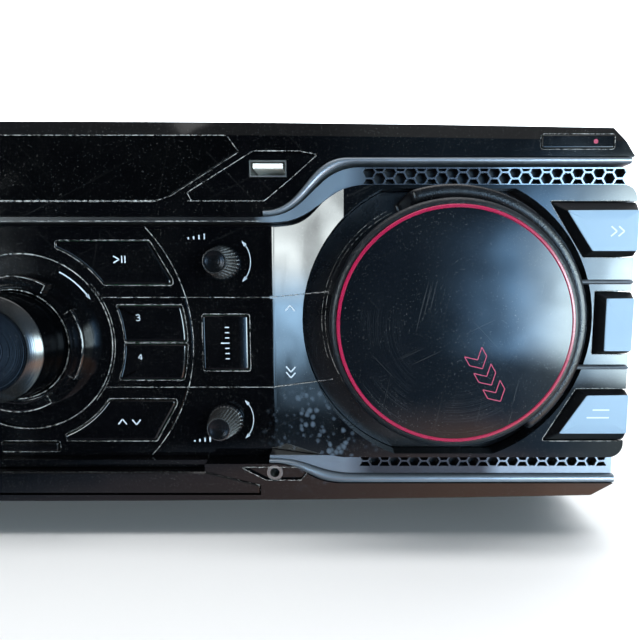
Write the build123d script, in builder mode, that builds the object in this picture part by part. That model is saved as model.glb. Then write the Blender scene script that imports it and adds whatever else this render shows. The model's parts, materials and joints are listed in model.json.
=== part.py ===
from build123d import *
import math
import os

os.makedirs("parts", exist_ok=True)

# Frame: X to the right seen from the front, Y to the back, Z up, in millimetres.
# The front faces -Y. "Reach" is a distance forward of the deck, the flat middle of the front.

# Overall sizes: the front is the flat deck with a wheel bezel on each side of it
crease_x = 94.0
bezel_width = 131.0
side_edge = crease_x + bezel_width
front_width = 2 * side_edge
side_step = 2.0
cover_width = front_width - 2 * side_step
overall_depth = 352.0
wheel_reach = 26.0
socket_reach = 12.0
foot_height = 10.0
sheet = 1.0
moulding = 2.5
front_gap = 0.2
deck_y = wheel_reach - overall_depth / 2
rear_y = overall_depth / 2 - socket_reach

# Heights of the front's level lines, from the surface the unit stands on
base_arc_middle = 13.9
base_arc_end = 16.2
frame_bottom = 18.0
deck_bottom = 28.5
deck_height = 88.7
deck_top = deck_bottom + deck_height
dial_rise = 0.15
dial_z = (deck_bottom + deck_top) / 2 + dial_rise
fascia_height = 35.4
top_arc_fall = 2.2
cover_step = 2.6
frame_step = 1.8
top_arc_middle = deck_top + fascia_height
top_arc_end = top_arc_middle - top_arc_fall
cover_top = top_arc_middle - cover_step
frame_top = cover_top - frame_step

# How far the front pieces stand out from the deck, and how deep its frame is
fascia_reach = 8.3
strip_reach = 9.0
grille_reach = 7.5
bezel_reach = 10.0
key_reach = 1.2
frame_depth = 13.0

# Where the case starts behind the front
case_front_y = deck_y + frame_depth
case_depth = rear_y - case_front_y
case_middle_y = (rear_y + case_front_y) / 2

# Sweeping lines of the front: x and z where the S starts, x and z where it ends
upper_sweep_x = crease_x - 0.6
lower_sweep_x = crease_x + 0.3
ledge_bottom = deck_top + front_gap
ledge_top = deck_top + 2.1
strip_high = (upper_sweep_x, deck_top + 4.3, crease_x + 29.3, deck_top + 22.7)
strip_low = (upper_sweep_x, deck_top + 2.5, crease_x + 33.0, deck_top + 20.4)
grille_high = (upper_sweep_x, ledge_top, crease_x + 34.0, deck_top + 19.3)
grille_low = (crease_x + 2.2, ledge_bottom, crease_x + 37.0, deck_top + 13.1)
lower_grille_top = deck_bottom + 2.9
lower_grille_low = (lower_sweep_x, deck_bottom + 1.9, crease_x + 33.0, deck_bottom - 3.9)
lower_strip_high = (lower_sweep_x, deck_bottom + 1.7, crease_x + 31.5, deck_bottom - 4.2)
lower_strip_low = (lower_sweep_x, deck_bottom + 0.2, crease_x + 28.0, deck_bottom - 7.5)
bezel_bottom = lower_grille_top + front_gap
bezel_top = grille_low[3] - front_gap
grille_end = side_edge - 2.4
strip_end = side_edge - 1.8
side_trim = 0.6

# Wheels: the well reaches nearly to the bezel's edges, and the crescent and the wheel stand in it
well_low = bezel_bottom + 1.4
well_high = bezel_top - 1.3
crescent_radius = (well_high - well_low) / 2 - 2.4
well_radius = crescent_radius + 6.8
wheel_x = side_edge - 66.0
wheel_z = (well_low + well_high) / 2 + 1.1
wheel_radius = crescent_radius - 3.7
ring_outer = wheel_radius - 2.4
ring_width = 1.3
running_gap = 0.4
crescent_reach = 17.5
surround_reach = 3.0
crescent_start = -58.0
crescent_end = 113.0
wedge_end_x = crease_x + 28.0
rib_heights = (wheel_z + 14.2, wheel_z - 16.5)
rib_thickness = 1.7
rib_reach = 2.0
rib_overlap = 1.5
bezel_corner = 5.0
groove_depth = 2.6
ring_height = 1.9
wheel_back = 4.0
wheel_hub_end = -2.0
wheel_shaft_radius = 4.0
wheel_hub_radius = 8.0
wheel_crown = 1.2
wheel_crown_middle = 0.3
wheel_rim_drops = (1.4, 1.8, 3.6)
wheel_rim_width = 1.2
wheel_face_thickness = 2.9
ring_clearance = 0.05
ring_fillet = 0.3

# Volume knob and its surround
dish_radius = 33.6
dish_depth = 1.0
dial_ring_outer = 26.0
dial_ring_inner = 20.6
dial_ring_reach = 6.2
knob_radius = 19.9
knob_face_radius = 17.6
knob_reach = 21.0
knob_lip_width = 1.2
knob_lip_drop = 0.6
knob_wall_height = 4.0
shaft_radius = 3.0
shaft_clearance = 0.05
shaft_end = -6.6
knob_foot = 0.8
face_dish = 1.6
dial_ring_chamfer = 1.0
notch_floor = 3.4
notch_angle = 28.0
notch_radius = 22.4

# Keys of the deck
inner_arc = 38.7
outer_arc = crease_x - 32.0
seam_arc = outer_arc + 2.0
key_gap = 0.35
key_travel = 1.0
seam_width = 0.5
seam_offset = 17.3
seam_start_x = 28.0
wedge_seam_climbs = (5.8, 3.0)
key_back = -2.2
switch_gap = 0.3
stack_half_height = 14.0
stack_split = 0.35
key_near = 22.3
key_far = 38.2
key_left = 14.3
key_right = crease_x - 36.9
key_slope_x = key_right - 8.1
key_slope_z = 24.0
key_chamfer = 0.3
play_stem_offset = 3.0
function_key_x = crease_x - 16.8
function_key_size = (17.2, 21.0)
function_key_corner = 1.2
tuner_x = crease_x - 17.6
tuner_offset = 30.4
tuner_base_radius = 6.7
tuner_top_radius = 4.0
tuner_reach = 11.5
tuner_flutes = 18
tuner_foot = 0.6
tuner_skirt = 1.2
tuner_skirt_step = 0.6
tuner_skirt_slope = 0.2
tuner_edge = 0.4
flute_base_radius = 0.6
flute_top_radius = 0.4
flute_base_inset = 0.45
flute_top_outset = 0.05
flute_start = 1.6
flute_overrun = 0.2
stem_radius = 1.6
tuner_shaft_radius = 2.0

open_key_x = 0.0
open_key_z = deck_bottom + 3.7
open_key_width = 22.0
open_key_height = 3.4
open_key_corner = 0.8

# Side keys
side_key_reach = 13.4
side_key_flank = 5.5
side_travel = 1.2
side_floor = 1.2
side_gap = 0.3
side_stem_x = side_edge - 10.4
side_recess_width = 2.0
small_key_depth = 2.6
small_key_proud = 0.2
small_stem_radius = 1.0
small_stem_z = top_arc_middle - 8.6
small_switch_size = 2.4

# Sockets of the front
usb_width = 13.1
usb_height = 5.7
usb_opening = (12.2, 4.8)
usb_front = 6.9
usb_back_wall = 2.0
usb_tongue_rise = 0.9
usb_tongue_width = 10.6
usb_tongue_thickness = 1.7
usb_x = crease_x + 1.1
usb_z = deck_top + 19.0
jack_x = crease_x + 2.1
jack_z = deck_bottom - 3.8
jack_outer = 3.0
jack_bore = 1.8
jack_depth = 15.0
jack_proud = 0.5
jack_recess_high = deck_bottom - 1.6
jack_recess_low = deck_bottom - 6.3
jack_recess = (
    (jack_x - 12.1, jack_recess_high),
    (jack_x + 13.5, jack_recess_high),
    (jack_x + 9.9, jack_recess_low),
    (jack_x - 3.1, jack_recess_low),
)

# Boards and switches behind the deck
board_thickness = 1.6
board_front = 1.6
board_low = deck_bottom + 0.5
board_high = frame_top - 3.0
board_side_gap = 1.0
board_face = moulding - frame_depth + board_thickness
switch_reach = -6.9
switch_body = 1.4
switch_size = 6.0
encoder_body = 12.0
encoder_height = 5.4
display_half = crease_x - 24.0
display_gap = 0.1

# Case
base_side_height = 16.0
base_front_height = 20.0
vent_width = 3.0
vent_length = 30.0
vent_pitch = 6.0
vent_y = rear_y - 69.0
base_vents = 12
cover_vents = 40
cover_vent_y = rear_y - 104.0
side_vents = 16
side_vent_length = 40.0
flange_length = 8.0
flange_inset = 20.0
foot_radius = 14.0
foot_dish = 2.0
foot_dish_wall = 4.0
foot_dish_slope = 1.0
foot_chamfer = 0.8
foot_taper = 1.0
foot_x = cover_width / 2 - 38.0
foot_front_y = case_front_y + 32.0
foot_rear_y = rear_y - 34.0
screw_front_y = case_front_y + 17.0
screw_rear_y = rear_y - 14.0
screw_ys = (screw_front_y, (screw_front_y + screw_rear_y) / 2, screw_rear_y)
screw_z = 19.0
screw_head_radius = 3.4
screw_head_height = 0.9
screw_slot_length = 4.4
screw_slot_width = 0.8
screw_slot_depth = 0.54
rear_screw_x = cover_width / 2 - 9.0
rear_screw_xs = (-rear_screw_x, -rear_screw_x / 3, rear_screw_x / 3, rear_screw_x)
rear_screw_z = cover_top - 7.0

# Back: speaker clamps, line sockets, mains inlet
speaker_x = -20.0
speaker_z = 60.0
speaker_width = 96.0
speaker_height = 40.0
speaker_block = 14.0
speaker_pitch_x = 21.0
speaker_pitch_z = 16.5
speaker_key_width = 13.0
speaker_key_height = 11.0
speaker_key_reach = 7.0
speaker_wire_radius = 1.4
speaker_lip = 2.0
speaker_lip_gap = 0.1
speaker_key_corner = 1.5
line_x = -20.0
line_z = 112.0
line_pitch = 14.0
line_radius = 4.15
line_bore = 1.7
line_depth = 9.0
line_block = 12.0
inlet_x = 58.0 - cover_width / 2
inlet_z = 45.0
inlet_width = 26.0
inlet_height = 16.0
inlet_block = 20.0
inlet_well = 12.0
inlet_pin_pitch = 8.6
inlet_pin_radius = 1.15
inlet_corner = 3.0
inlet_side_wall = 4.0
inlet_top_wall = 2.0
inlet_pin_recess = 2.0

# Fan
fan_x = cover_width / 2 - 73.0
fan_z = 95.0
fan_size = 60.0
fan_depth = 15.0
fan_radius = 27.5
fan_hub = 12.0
fan_blades = 7
fan_strut = 3.0
fan_pin_radius = 1.5
fan_pitch = 35.0
fan_blade_width = 11.0
fan_blade_thickness = 1.2
fan_guard_rings = 5
fan_guard_pitch = 5.4
fan_guard_slot = 3.4
fan_guard_bar = 2.4
fan_corner = 3.0
fan_wall_gap = 1.0
fan_hole_inset = 4.5
fan_hole_radius = 2.1
fan_strut_inset = 1.5
fan_pin_recess = 2.0
fan_blade_root = 1.0

# Tray front and the lower fascia's corners
tray_front_half = crease_x - 3.5
tray_front_bottom = 16.6
tray_front_top = 25.1
tray_tip_height = 3.2
tray_tip_rise = 0.6
tray_tip_run = 1.6
tray_slope_x = tray_front_half - 20.5
tray_gap = 0.4
tray_front_back = 3.0
tray_front_chamfer = 0.5
tray_passage = 1.0
lower_corner_x = side_edge - 10.0

# Disc mechanism
disc_y = deck_y + 84.0
disc_radius = 60.0
disc_clearance = 1.0
small_disc_radius = 40.5
small_disc_drop = 1.0
tray_half_width = 66.0
tray_guide = 69.1
tray_bottom = 18.4
tray_top = 24.2
tray_plate = 3.0
tray_end_y = disc_y + 111.0
slot_half_width = 29.0
slot_front = 16.0
gear_y = deck_y + 32.0
gear_teeth = 20
gear_module = 1.0
gear_height = 3.0
gear_addendum = 0.8
gear_dedendum = 1.2
tooth_bite = 0.3
rack_depth = 2.0
rack_end_y = tray_end_y - 15.0
rack_lead_teeth = 2
tooth_root = 1.8
tooth_tip = 0.7
mesh_gap = 0.2
post_radius = 1.5
loader_half = 90.0
loader_floor = 1.2
loader_front_y = case_front_y + 3.0
loader_end_y = tray_end_y + 15.0
loader_well_front = 2.0
loader_well_side = 1.5
wall_x = 71.0
wall_thickness = 3.0
guide_gap = 0.3
ledge_width = 5.0
ledge_thickness = 1.5
lip_width = 3.0
lip_thickness = 1.8
pivot_post_gap = 1.0
pivot_post_size = (3.0, 7.0)
pivot_post_rise = 2.2
gear_window_gap = 2.0
gear_post_foot = 2.0
bridge_bottom = 27.0
bridge_thickness = 1.6
bridge_depth = 34.0
clamp_radius = 15.0
clamp_neck = 11.6
clamp_bottom = 23.8
clamp_thickness = 1.5
traverse_half = 38.0
traverse_front_y = disc_y - 29.0
traverse_top = 16.6
traverse_plate = 2.0
pivot_y = disc_y + 78.0
traverse_well_end = pivot_y - 10.0
pivot_z = 15.6
pivot_radius = 1.0
pivot_length = 4.0
sled_travel = 30.0
sled_start_y = disc_y + 28.0
sled_length = 18.0
sled_half = 22.0
sled_bottom = 14.4
sled_top = 19.4
sled_side_gap = 2.0
sled_front_gap = 4.0
sled_rear_gap = 2.0
lens_rim_radius = 6.0
lens_rim_height = 0.6
lens_radius = 3.0
lens_height = 1.2
rod_block = (5.0, 3.0)
rod_block_gap = 1.5
rod_block_rise = 2.0
rod_x = 18.0
rod_z = 17.0
rod_radius = 1.2
spindle_motor_radius = 11.0
motor_bottom = 13.8
motor_top = 19.8
spindle_radius = 1.0
platter_bottom = 20.4
platter_top = 22.4
hub_radius = 7.4
hub_height = 1.0
hub_chamfer = (0.8, 0.5)
turntable_radius = 10.0
spindle_socket = 2.0
spindle_end_gap = 0.6

# Boards inside
standoff = 5.0
standoff_radius = 3.0
standoff_inset = 5.0
supply_x = 68.0 - cover_width / 2
supply_front_space = 57.0
supply_rear_space = 64.0
supply_y = case_middle_y + (supply_front_space - supply_rear_space) / 2
supply_width = 110.0
supply_depth = case_depth - supply_front_space - supply_rear_space
transformer_x = supply_x + 15.0
transformer_y = supply_y - 30.0
transformer_size = (42.0, 36.0, 34.0)
winding_size = (34.0, 48.0, 22.0)
winding_rise = 6.0
capacitor_x = supply_x - 25.0
capacitor_y = supply_y + 30.0
capacitor_pitch = (26.0, 28.0)
capacitor_radius = 11.0
capacitor_height = 40.0
main_x = 0.0
main_y = (loader_end_y + rear_y) / 2
main_side_space = 133.0
main_end_space = 12.0
main_width = cover_width - 2 * main_side_space
main_depth = rear_y - loader_end_y - 2 * main_end_space
chip_size = (24.0, 24.0, 2.2)
tuner_can_x = main_x - 45.0
tuner_can_y = main_y + main_depth / 10
tuner_can_size = (14.0, 3 / 8 * main_depth, 3.0)
small_capacitor_x = main_x + 48.0
small_capacitor_y = main_y - 6.0
small_capacitor_pitch = (15.0, 16.0)
small_capacitor_radius = 5.0
small_capacitor_height = 16.0
sink_x = cover_width / 2 - 63.0
sink_front_space = 82.0
sink_rear_space = 89.0
sink_y = case_middle_y + (sink_front_space - sink_rear_space) / 2
sink_width = 80.0
sink_length = case_depth - sink_front_space - sink_rear_space
sink_foot = 5.0
sink_height = 55.0
sink_pitch = 8.0
sink_fin = 2.0
sink_fins = 10


def front_plane(reach):
    """Plane that faces forward, with sketch x along X and sketch y up."""
    return Plane(origin=(0, deck_y - reach, 0), x_dir=(1, 0, 0), z_dir=(0, -1, 0))


def turning_plane(x, z):
    """Plane through a forward axis: sketch x is the radius, sketch y the reach."""
    return Plane(origin=(x, deck_y, z), x_dir=(1, 0, 0), z_dir=(0, 0, -1))


def forward_axis(x, z):
    """Axis along Y through x and z of the front."""
    return Axis((x, 0, z), (0, 1, 0))


def save(piece, name):
    """Label a finished piece and write its file."""
    piece.part.label = name
    export_step(piece.part, f"parts/{name}.step")


def twin(piece):
    """The same piece on the other side of the middle."""
    with BuildPart() as other:
        mirror(piece.part, about=Plane.YZ)
    return other


def join_pair(piece):
    """A group that holds a piece and its mirror image."""
    with BuildPart() as pair:
        add(piece.part)
        mirror(piece.part, about=Plane.YZ)
    return pair


def sweep_line(line):
    """S-shaped edge, level at both ends."""
    start_x, start_z, end_x, end_z = line
    middle = (start_x + end_x) / 2
    Bezier((start_x, start_z), (middle, start_z), (middle, end_z), (end_x, end_z))


def band_face(low, high, inner, outer):
    """Face between two sweeping lines, from x inner to x outer."""
    with BuildLine() as outline:
        if inner < low[0]:
            Line((inner, low[1]), (low[0], low[1]))
        sweep_line(low)
        Polyline((low[2], low[3]), (outer, low[3]), (outer, high[3]), (high[2], high[3]))
        sweep_line(high)
        if inner < high[0]:
            Line((high[0], high[1]), (inner, high[1]))
        Line((min(inner, high[0]), high[1]), (min(inner, low[0]), low[1]))
    make_face(outline.edges())


def shifted(line, rise, run=0.0):
    """A sweeping line moved up and sideways."""
    return (line[0] + run, line[1] + rise, line[2] + run, line[3] + rise)


# Upper fascia: the glossy top of the front, with an arched bevelled top edge
window_half_low = crease_x - 39.2
window_half_high = crease_x - 9.0
window_low = deck_top + 7.5
window_high = top_arc_middle - 5.5
display_height = window_high - window_low - 3.4
window_chamfer = 4.0
window_chamfer_height = 5.5
window_toe = (6.0, 2.0)
window_thickness = 2.2
window_edge = 0.35
socket_recess = 1.2
bevel_height = 2.2
bevel_depth = 5.0
pocket_bottom = strip_high[3] + moulding
pocket_low = strip_high[1] + moulding
pocket_slope_start = crease_x + 3.0
pocket_slope_end = crease_x + 32.0
pocket_roof = frame_top - 0.6
small_key_x = side_edge - 21.0
small_key_z = top_arc_middle - 7.5
small_key_width = 25.0
small_key_height = 4.2


def window_face():
    """Display window: wide trapezium with sloping ends."""
    with BuildLine() as outline:
        Polyline(
            (-window_half_low, window_low),
            (window_half_low, window_low),
            (window_half_low + window_toe[0], window_low + window_toe[1]),
            (window_half_high, window_high - window_chamfer_height),
            (window_half_high - window_chamfer, window_high),
            (-window_half_high + window_chamfer, window_high),
            (-window_half_high, window_high - window_chamfer_height),
            (-window_half_low - window_toe[0], window_low + window_toe[1]),
            close=True,
        )
    make_face(outline.edges())


# Corners of the USB socket's slanted recess, from the middle of the socket
usb_recess = ((-28.3, -8.6), (-26.9, -11.3), (-1.3, -11.3), (8.0, -3.8), (17.4, 4.4), (10.9, 5.6), (-4.8, 5.6))


def usb_recess_face():
    """Slanted recess that holds the USB socket."""
    with BuildLine() as outline:
        Polyline(*[(usb_x + x, usb_z + z) for x, z in usb_recess], close=True)
    make_face(outline.edges())


fascia_half = side_edge - side_trim
fascia_top_half = side_edge - 7.5
fascia_low = shifted(strip_high, front_gap, -front_gap)
with BuildPart() as upper_fascia:
    with BuildSketch(front_plane(-frame_depth)):
        with BuildLine():
            ThreePointArc((-fascia_top_half, top_arc_end), (0, top_arc_middle), (fascia_top_half, top_arc_end))
            Polyline(
                (fascia_top_half, top_arc_end),
                (fascia_half, fascia_low[3]),
                (fascia_low[2], fascia_low[3]),
            )
            sweep_line(fascia_low)
            Polyline(
                (fascia_low[0], fascia_low[1]),
                (fascia_low[0], ledge_top + front_gap),
                (-fascia_low[0], ledge_top + front_gap),
                (-fascia_low[0], fascia_low[1]),
            )
            sweep_line((-fascia_low[0], fascia_low[1], -fascia_low[2], fascia_low[3]))
            Polyline(
                (-fascia_low[2], fascia_low[3]),
                (-fascia_half, fascia_low[3]),
                (-fascia_top_half, top_arc_end),
            )
        make_face()
    extrude(amount=frame_depth + fascia_reach)
    top_edge = upper_fascia.edges().filter_by(GeomType.CIRCLE).sort_by(Axis.Y)[0]
    chamfer(top_edge, length=bevel_height, length2=bevel_depth)
    with Locations((0, deck_y + (moulding + frame_depth + 1) / 2, frame_top / 2)):
        Box(front_width, frame_depth + 1 - moulding, frame_top, mode=Mode.SUBTRACT)
    with BuildSketch(front_plane(-moulding)):
        with BuildLine():
            Polyline(
                (-fascia_half + 3 * moulding, pocket_bottom),
                (-pocket_slope_end, pocket_bottom),
                (-pocket_slope_start, pocket_low),
                (pocket_slope_start, pocket_low),
                (pocket_slope_end, pocket_bottom),
                (fascia_half - 3 * moulding, pocket_bottom),
                (fascia_half - 3 * moulding, pocket_roof),
                (-fascia_half + 3 * moulding, pocket_roof),
                close=True,
            )
        make_face()
    extrude(amount=fascia_reach, mode=Mode.SUBTRACT)
    with BuildSketch(front_plane(0)):
        window_face()
    extrude(amount=fascia_reach + 1, mode=Mode.SUBTRACT)
    with BuildSketch(front_plane(fascia_reach - socket_recess)):
        usb_recess_face()
        mirror(about=Plane.YZ)
    extrude(amount=socket_recess + 1, mode=Mode.SUBTRACT)
    with BuildSketch(front_plane(0)):
        with Locations((usb_x, usb_z), (-usb_x, usb_z)):
            Rectangle(usb_width + 2 * front_gap, usb_height + 2 * front_gap)
        with Locations((small_key_x, small_key_z), (-small_key_x, small_key_z)):
            Rectangle(small_key_width + 2 * key_gap, small_key_height + 2 * key_gap)
    extrude(amount=fascia_reach + 1, mode=Mode.SUBTRACT)
save(upper_fascia, "upper_fascia")

with BuildPart() as display_window:
    with BuildSketch(front_plane(fascia_reach - window_thickness)):
        window_face()
    extrude(amount=window_thickness)
    front_edges = display_window.faces().sort_by(Axis.Y)[0].edges()
    chamfer(front_edges, length=window_edge)
save(display_window, "display_window")

# Silver trim strips: two sweeping bars above the deck and two below it
with BuildPart() as strip:
    with BuildSketch(front_plane(-moulding)):
        band_face(strip_low, strip_high, strip_low[0], strip_end)
    extrude(amount=strip_reach + moulding)
    with BuildSketch(front_plane(-moulding)):
        band_face(lower_strip_low, lower_strip_high, lower_strip_low[0], strip_end)
    extrude(amount=strip_reach + moulding)
save(join_pair(strip), "silver_trim_strips")

# Hex-pocket grilles: one long piece above the deck, joined by a thin ledge, and two below it


def hex_rows(low, high, first_x, last_x):
    """Centres of the honeycomb whose cells start between low and high."""
    centres = []
    columns = int((last_x - first_x) / hex_pitch_x)
    for column in range(columns + 1):
        rise = hex_pitch_z / 2 if column % 2 else 0.0
        rows = int((high - low) / hex_pitch_z) + 2
        for row in range(rows):
            centres.append((first_x + column * hex_pitch_x, low + rise + (row - 0.5) * hex_pitch_z + hex_start))
    return centres


hex_pitch_x = 3.7
hex_pitch_z = 4.27
hex_radius = 2.12
hex_depth = 3.2
hex_start = 2.4
hex_rim = 0.45
hex_first_x = grille_low[2]
hex_last_x = grille_end - 2.1
lower_hex_first_x = lower_grille_low[2] + 3.0
lower_hex_low = lower_grille_low[3] + 2.2
with BuildPart() as grille:
    with BuildSketch(front_plane(-moulding)):
        band_face(grille_low, grille_high, 0.0, grille_end)
        mirror(about=Plane.YZ)
    extrude(amount=grille_reach + moulding)
    with BuildSketch(front_plane(grille_reach - hex_depth)):
        with Locations(*hex_rows(grille_low[3], grille_high[3], hex_first_x, hex_last_x)):
            RegularPolygon(hex_radius, 6)
        window_width = hex_last_x - hex_first_x + 2 * hex_radius
        with Locations(((hex_first_x + hex_last_x) / 2, (grille_low[3] + grille_high[3]) / 2)):
            Rectangle(window_width, grille_high[3] - grille_low[3] - 2 * hex_rim, mode=Mode.INTERSECT)
        mirror(about=Plane.YZ)
    extrude(amount=hex_depth, mode=Mode.SUBTRACT)

with BuildPart() as lower_grille:
    with BuildSketch(front_plane(-moulding)):
        with BuildLine():
            sweep_line(lower_grille_low)
            Polyline(
                (lower_grille_low[2], lower_grille_low[3]),
                (grille_end, lower_grille_low[3]),
                (grille_end, lower_grille_top),
                (lower_grille_low[0], lower_grille_top),
                (lower_grille_low[0], lower_grille_low[1]),
            )
        make_face()
    extrude(amount=grille_reach + moulding)
    with BuildSketch(front_plane(grille_reach - hex_depth)):
        with Locations(*hex_rows(lower_hex_low, lower_grille_top, lower_hex_first_x, hex_last_x)):
            RegularPolygon(hex_radius, 6)
        window_width = hex_last_x - lower_hex_first_x + 2 * hex_radius
        with Locations(((lower_hex_first_x + hex_last_x) / 2, (lower_hex_low + lower_grille_top) / 2)):
            Rectangle(window_width, lower_grille_top - lower_hex_low - 2 * hex_rim, mode=Mode.INTERSECT)
    extrude(amount=hex_depth, mode=Mode.SUBTRACT)
with BuildPart() as hex_grilles:
    add(grille.part)
    add(join_pair(lower_grille).part)
save(hex_grilles, "hex_grilles")

# Deck panel: the flat middle of the front, with holes for its keys


def upper_key_face(grow=0.0):
    """Play key: flat top, sloping right end, hollow lower left edge round the dial."""
    with BuildLine() as outline:
        Polyline(
            (key_left - grow, dial_z + key_far + grow),
            (key_slope_x + grow, dial_z + key_far + grow),
            (key_right + grow, dial_z + key_slope_z + grow / 2),
            (key_right + grow, dial_z + key_near - grow),
            (key_left - grow, dial_z + key_near - grow),
            close=True,
        )
    make_face(outline.edges())
    with Locations((0, dial_z)):
        Circle(inner_arc - grow, mode=Mode.SUBTRACT)


def stack_key_face(grow=0.0):
    """Upper one of two stacked keys between the two arcs round the dial."""
    with Locations((0, dial_z)):
        Circle(outer_arc + grow)
    with Locations(((inner_arc + outer_arc) / 2, dial_z + stack_split + stack_half_height / 2)):
        Rectangle(outer_arc, stack_half_height - stack_split + 2 * grow, mode=Mode.INTERSECT)
    with Locations((0, dial_z)):
        Circle(inner_arc - grow, mode=Mode.SUBTRACT)


def function_key_face(grow=0.0):
    """Square key at the side of the deck."""
    with Locations((function_key_x, dial_z)):
        key_width, key_height = function_key_size
        RectangleRounded(key_width + 2 * grow, key_height + 2 * grow, function_key_corner + grow)


with BuildPart() as deck_panel:
    with BuildSketch(front_plane(-moulding)):
        with Locations((0, (deck_bottom + deck_top) / 2)):
            Rectangle(2 * crease_x, deck_top - deck_bottom)
    extrude(amount=moulding)
    with BuildSketch(front_plane(-dish_depth)):
        with Locations((0, dial_z)):
            Circle(dish_radius)
    extrude(amount=dish_depth, mode=Mode.SUBTRACT)
    with BuildSketch(front_plane(-seam_width)):
        with Locations((0, dial_z)):
            Circle(seam_arc + seam_width)
            Circle(seam_arc, mode=Mode.SUBTRACT)
        for side in (-1, 1):
            for rise in (-seam_offset, seam_offset):
                with Locations((side * (crease_x + seam_start_x) / 2, dial_z + rise)):
                    Rectangle(crease_x - seam_start_x, seam_width)
        with Locations((0, (deck_bottom + deck_top) / 2)):
            Rectangle(2 * crease_x, deck_top - deck_bottom, mode=Mode.INTERSECT)
    extrude(amount=seam_width + 1, mode=Mode.SUBTRACT)
    with BuildSketch(front_plane(-moulding)):
        stack_key_face(key_gap)
        upper_key_face(key_gap)
        mirror(about=Plane.XZ.offset(-dial_z))
        function_key_face(key_gap)
        mirror(about=Plane.YZ)
        for side in (-1, 1):
            for rise in (-tuner_offset, tuner_offset):
                with Locations((side * tuner_x, dial_z + rise)):
                    Circle(tuner_shaft_radius + running_gap)
        with Locations((0, dial_z)):
            Circle(shaft_radius + running_gap)
        with Locations((open_key_x, open_key_z)):
            Rectangle(open_key_width + 2 * key_gap, open_key_height + 2 * key_gap)
    extrude(amount=moulding + 1, mode=Mode.SUBTRACT)
save(deck_panel, "deck_panel")

# Wheel bezel: rises from the deck as a wedge, holds the wheel well and the side keys
foot_inset = 0.2
face_inset = 1.0

# Corners of the side keys' feet and faces: distance in from the side edge, and rise from the key's level
side_key_levels = {"upper": bezel_top, "middle": wheel_z, "lower": bezel_bottom}
side_key_corners = {
    "upper": (
        ((30.0, -6.0), (foot_inset, -6.0), (foot_inset, -24.9), (18.0, -24.9)),
        ((25.6, -9.4), (face_inset, -9.3), (face_inset, -23.1), (16.4, -23.1)),
    ),
    "middle": (
        ((13.0, 10.6), (foot_inset, 10.6), (foot_inset, -11.5), (13.0, -11.5)),
        ((10.5, 8.3), (face_inset, 8.4), (face_inset, -10.2), (10.5, -10.2)),
    ),
    "lower": (
        ((18.1, 25.4), (foot_inset, 25.4), (foot_inset, 6.7), (29.4, 6.7)),
        ((15.7, 24.0), (face_inset, 24.2), (face_inset, 10.2), (25.1, 10.2)),
    ),
}
side_key_outlines = {
    place: [[(side_edge - inset, side_key_levels[place] + rise) for inset, rise in corners] for corners in pair]
    for place, pair in side_key_corners.items()
}


def side_key_stem(outline):
    """Where a side key's stem stands: level with the middle of its face."""
    return (side_stem_x, sum(z for x, z in outline) / 4)


def quad_face(corners):
    """Four-cornered face."""
    with BuildLine() as outline:
        Polyline(*corners, close=True)
    make_face(outline.edges())


bezel_high = shifted(grille_low, -front_gap)
with BuildPart() as right_bezel:
    with BuildSketch(front_plane(-moulding)):
        with BuildLine():
            Line((crease_x, bezel_high[1]), (bezel_high[0], bezel_high[1]))
            sweep_line(bezel_high)
            Polyline(
                (bezel_high[2], bezel_high[3]),
                (side_edge, bezel_high[3]),
                (side_edge, bezel_bottom),
                (crease_x, bezel_bottom),
                (crease_x, bezel_high[1]),
            )
        make_face()
    extrude(amount=bezel_reach + moulding)
    outer_corners = right_bezel.edges().filter_by(Axis.Y).group_by(Axis.X)[-1]
    fillet(outer_corners, radius=bezel_corner)
    with BuildSketch(Plane.XY):
        with BuildLine():
            Polyline(
                (crease_x - 1, deck_y),
                (crease_x, deck_y),
                (wedge_end_x, deck_y - bezel_reach),
                (wedge_end_x, deck_y - bezel_reach - 1),
                (crease_x - 1, deck_y - bezel_reach - 1),
                close=True,
            )
        make_face()
    extrude(amount=cover_top, mode=Mode.SUBTRACT)
    for rise, climb in zip((-seam_offset, seam_offset), wedge_seam_climbs):
        slope = math.atan(climb / (wedge_end_x - crease_x))
        seam_length = math.hypot(climb, wedge_end_x - crease_x)
        seam_start = (crease_x, 0, dial_z + rise)
        seam_along = (math.cos(slope), 0, math.sin(slope))
        seam_up = (-math.sin(slope), 0, math.cos(slope))
        with BuildSketch(Plane(origin=seam_start, x_dir=seam_along, z_dir=seam_up)):
            with BuildLine():
                Polyline(
                    (-1, deck_y + seam_width),
                    (0, deck_y + seam_width),
                    (seam_length, deck_y - bezel_reach + seam_width),
                    (seam_length, deck_y - bezel_reach - 1),
                    (-1, deck_y - bezel_reach - 1),
                    close=True,
                )
            make_face()
        extrude(amount=seam_width / 2, both=True, mode=Mode.SUBTRACT)
    with BuildSketch(front_plane(-moulding)):
        with Locations((wheel_x, wheel_z)):
            Circle(well_radius)
        with Locations((wheel_x, (well_low + well_high) / 2)):
            Rectangle(2 * well_radius, well_high - well_low, mode=Mode.INTERSECT)
        for base, face in side_key_outlines.values():
            with Locations(side_key_stem(face)):
                Circle(stem_radius + key_gap)
    extrude(amount=bezel_reach + moulding + 1, mode=Mode.SUBTRACT)
    with BuildSketch(front_plane(side_floor)):
        for base, face in side_key_outlines.values():
            quad_face(base)
        offset(amount=key_gap, kind=Kind.INTERSECTION)
        for base, face in side_key_outlines.values():
            with Locations((side_edge, (base[0][1] + base[2][1]) / 2)):
                Rectangle(side_recess_width, base[0][1] - base[2][1] + 2 * key_gap)
    extrude(amount=bezel_reach, mode=Mode.SUBTRACT)
save(join_pair(right_bezel), "wheel_bezels")

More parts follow.
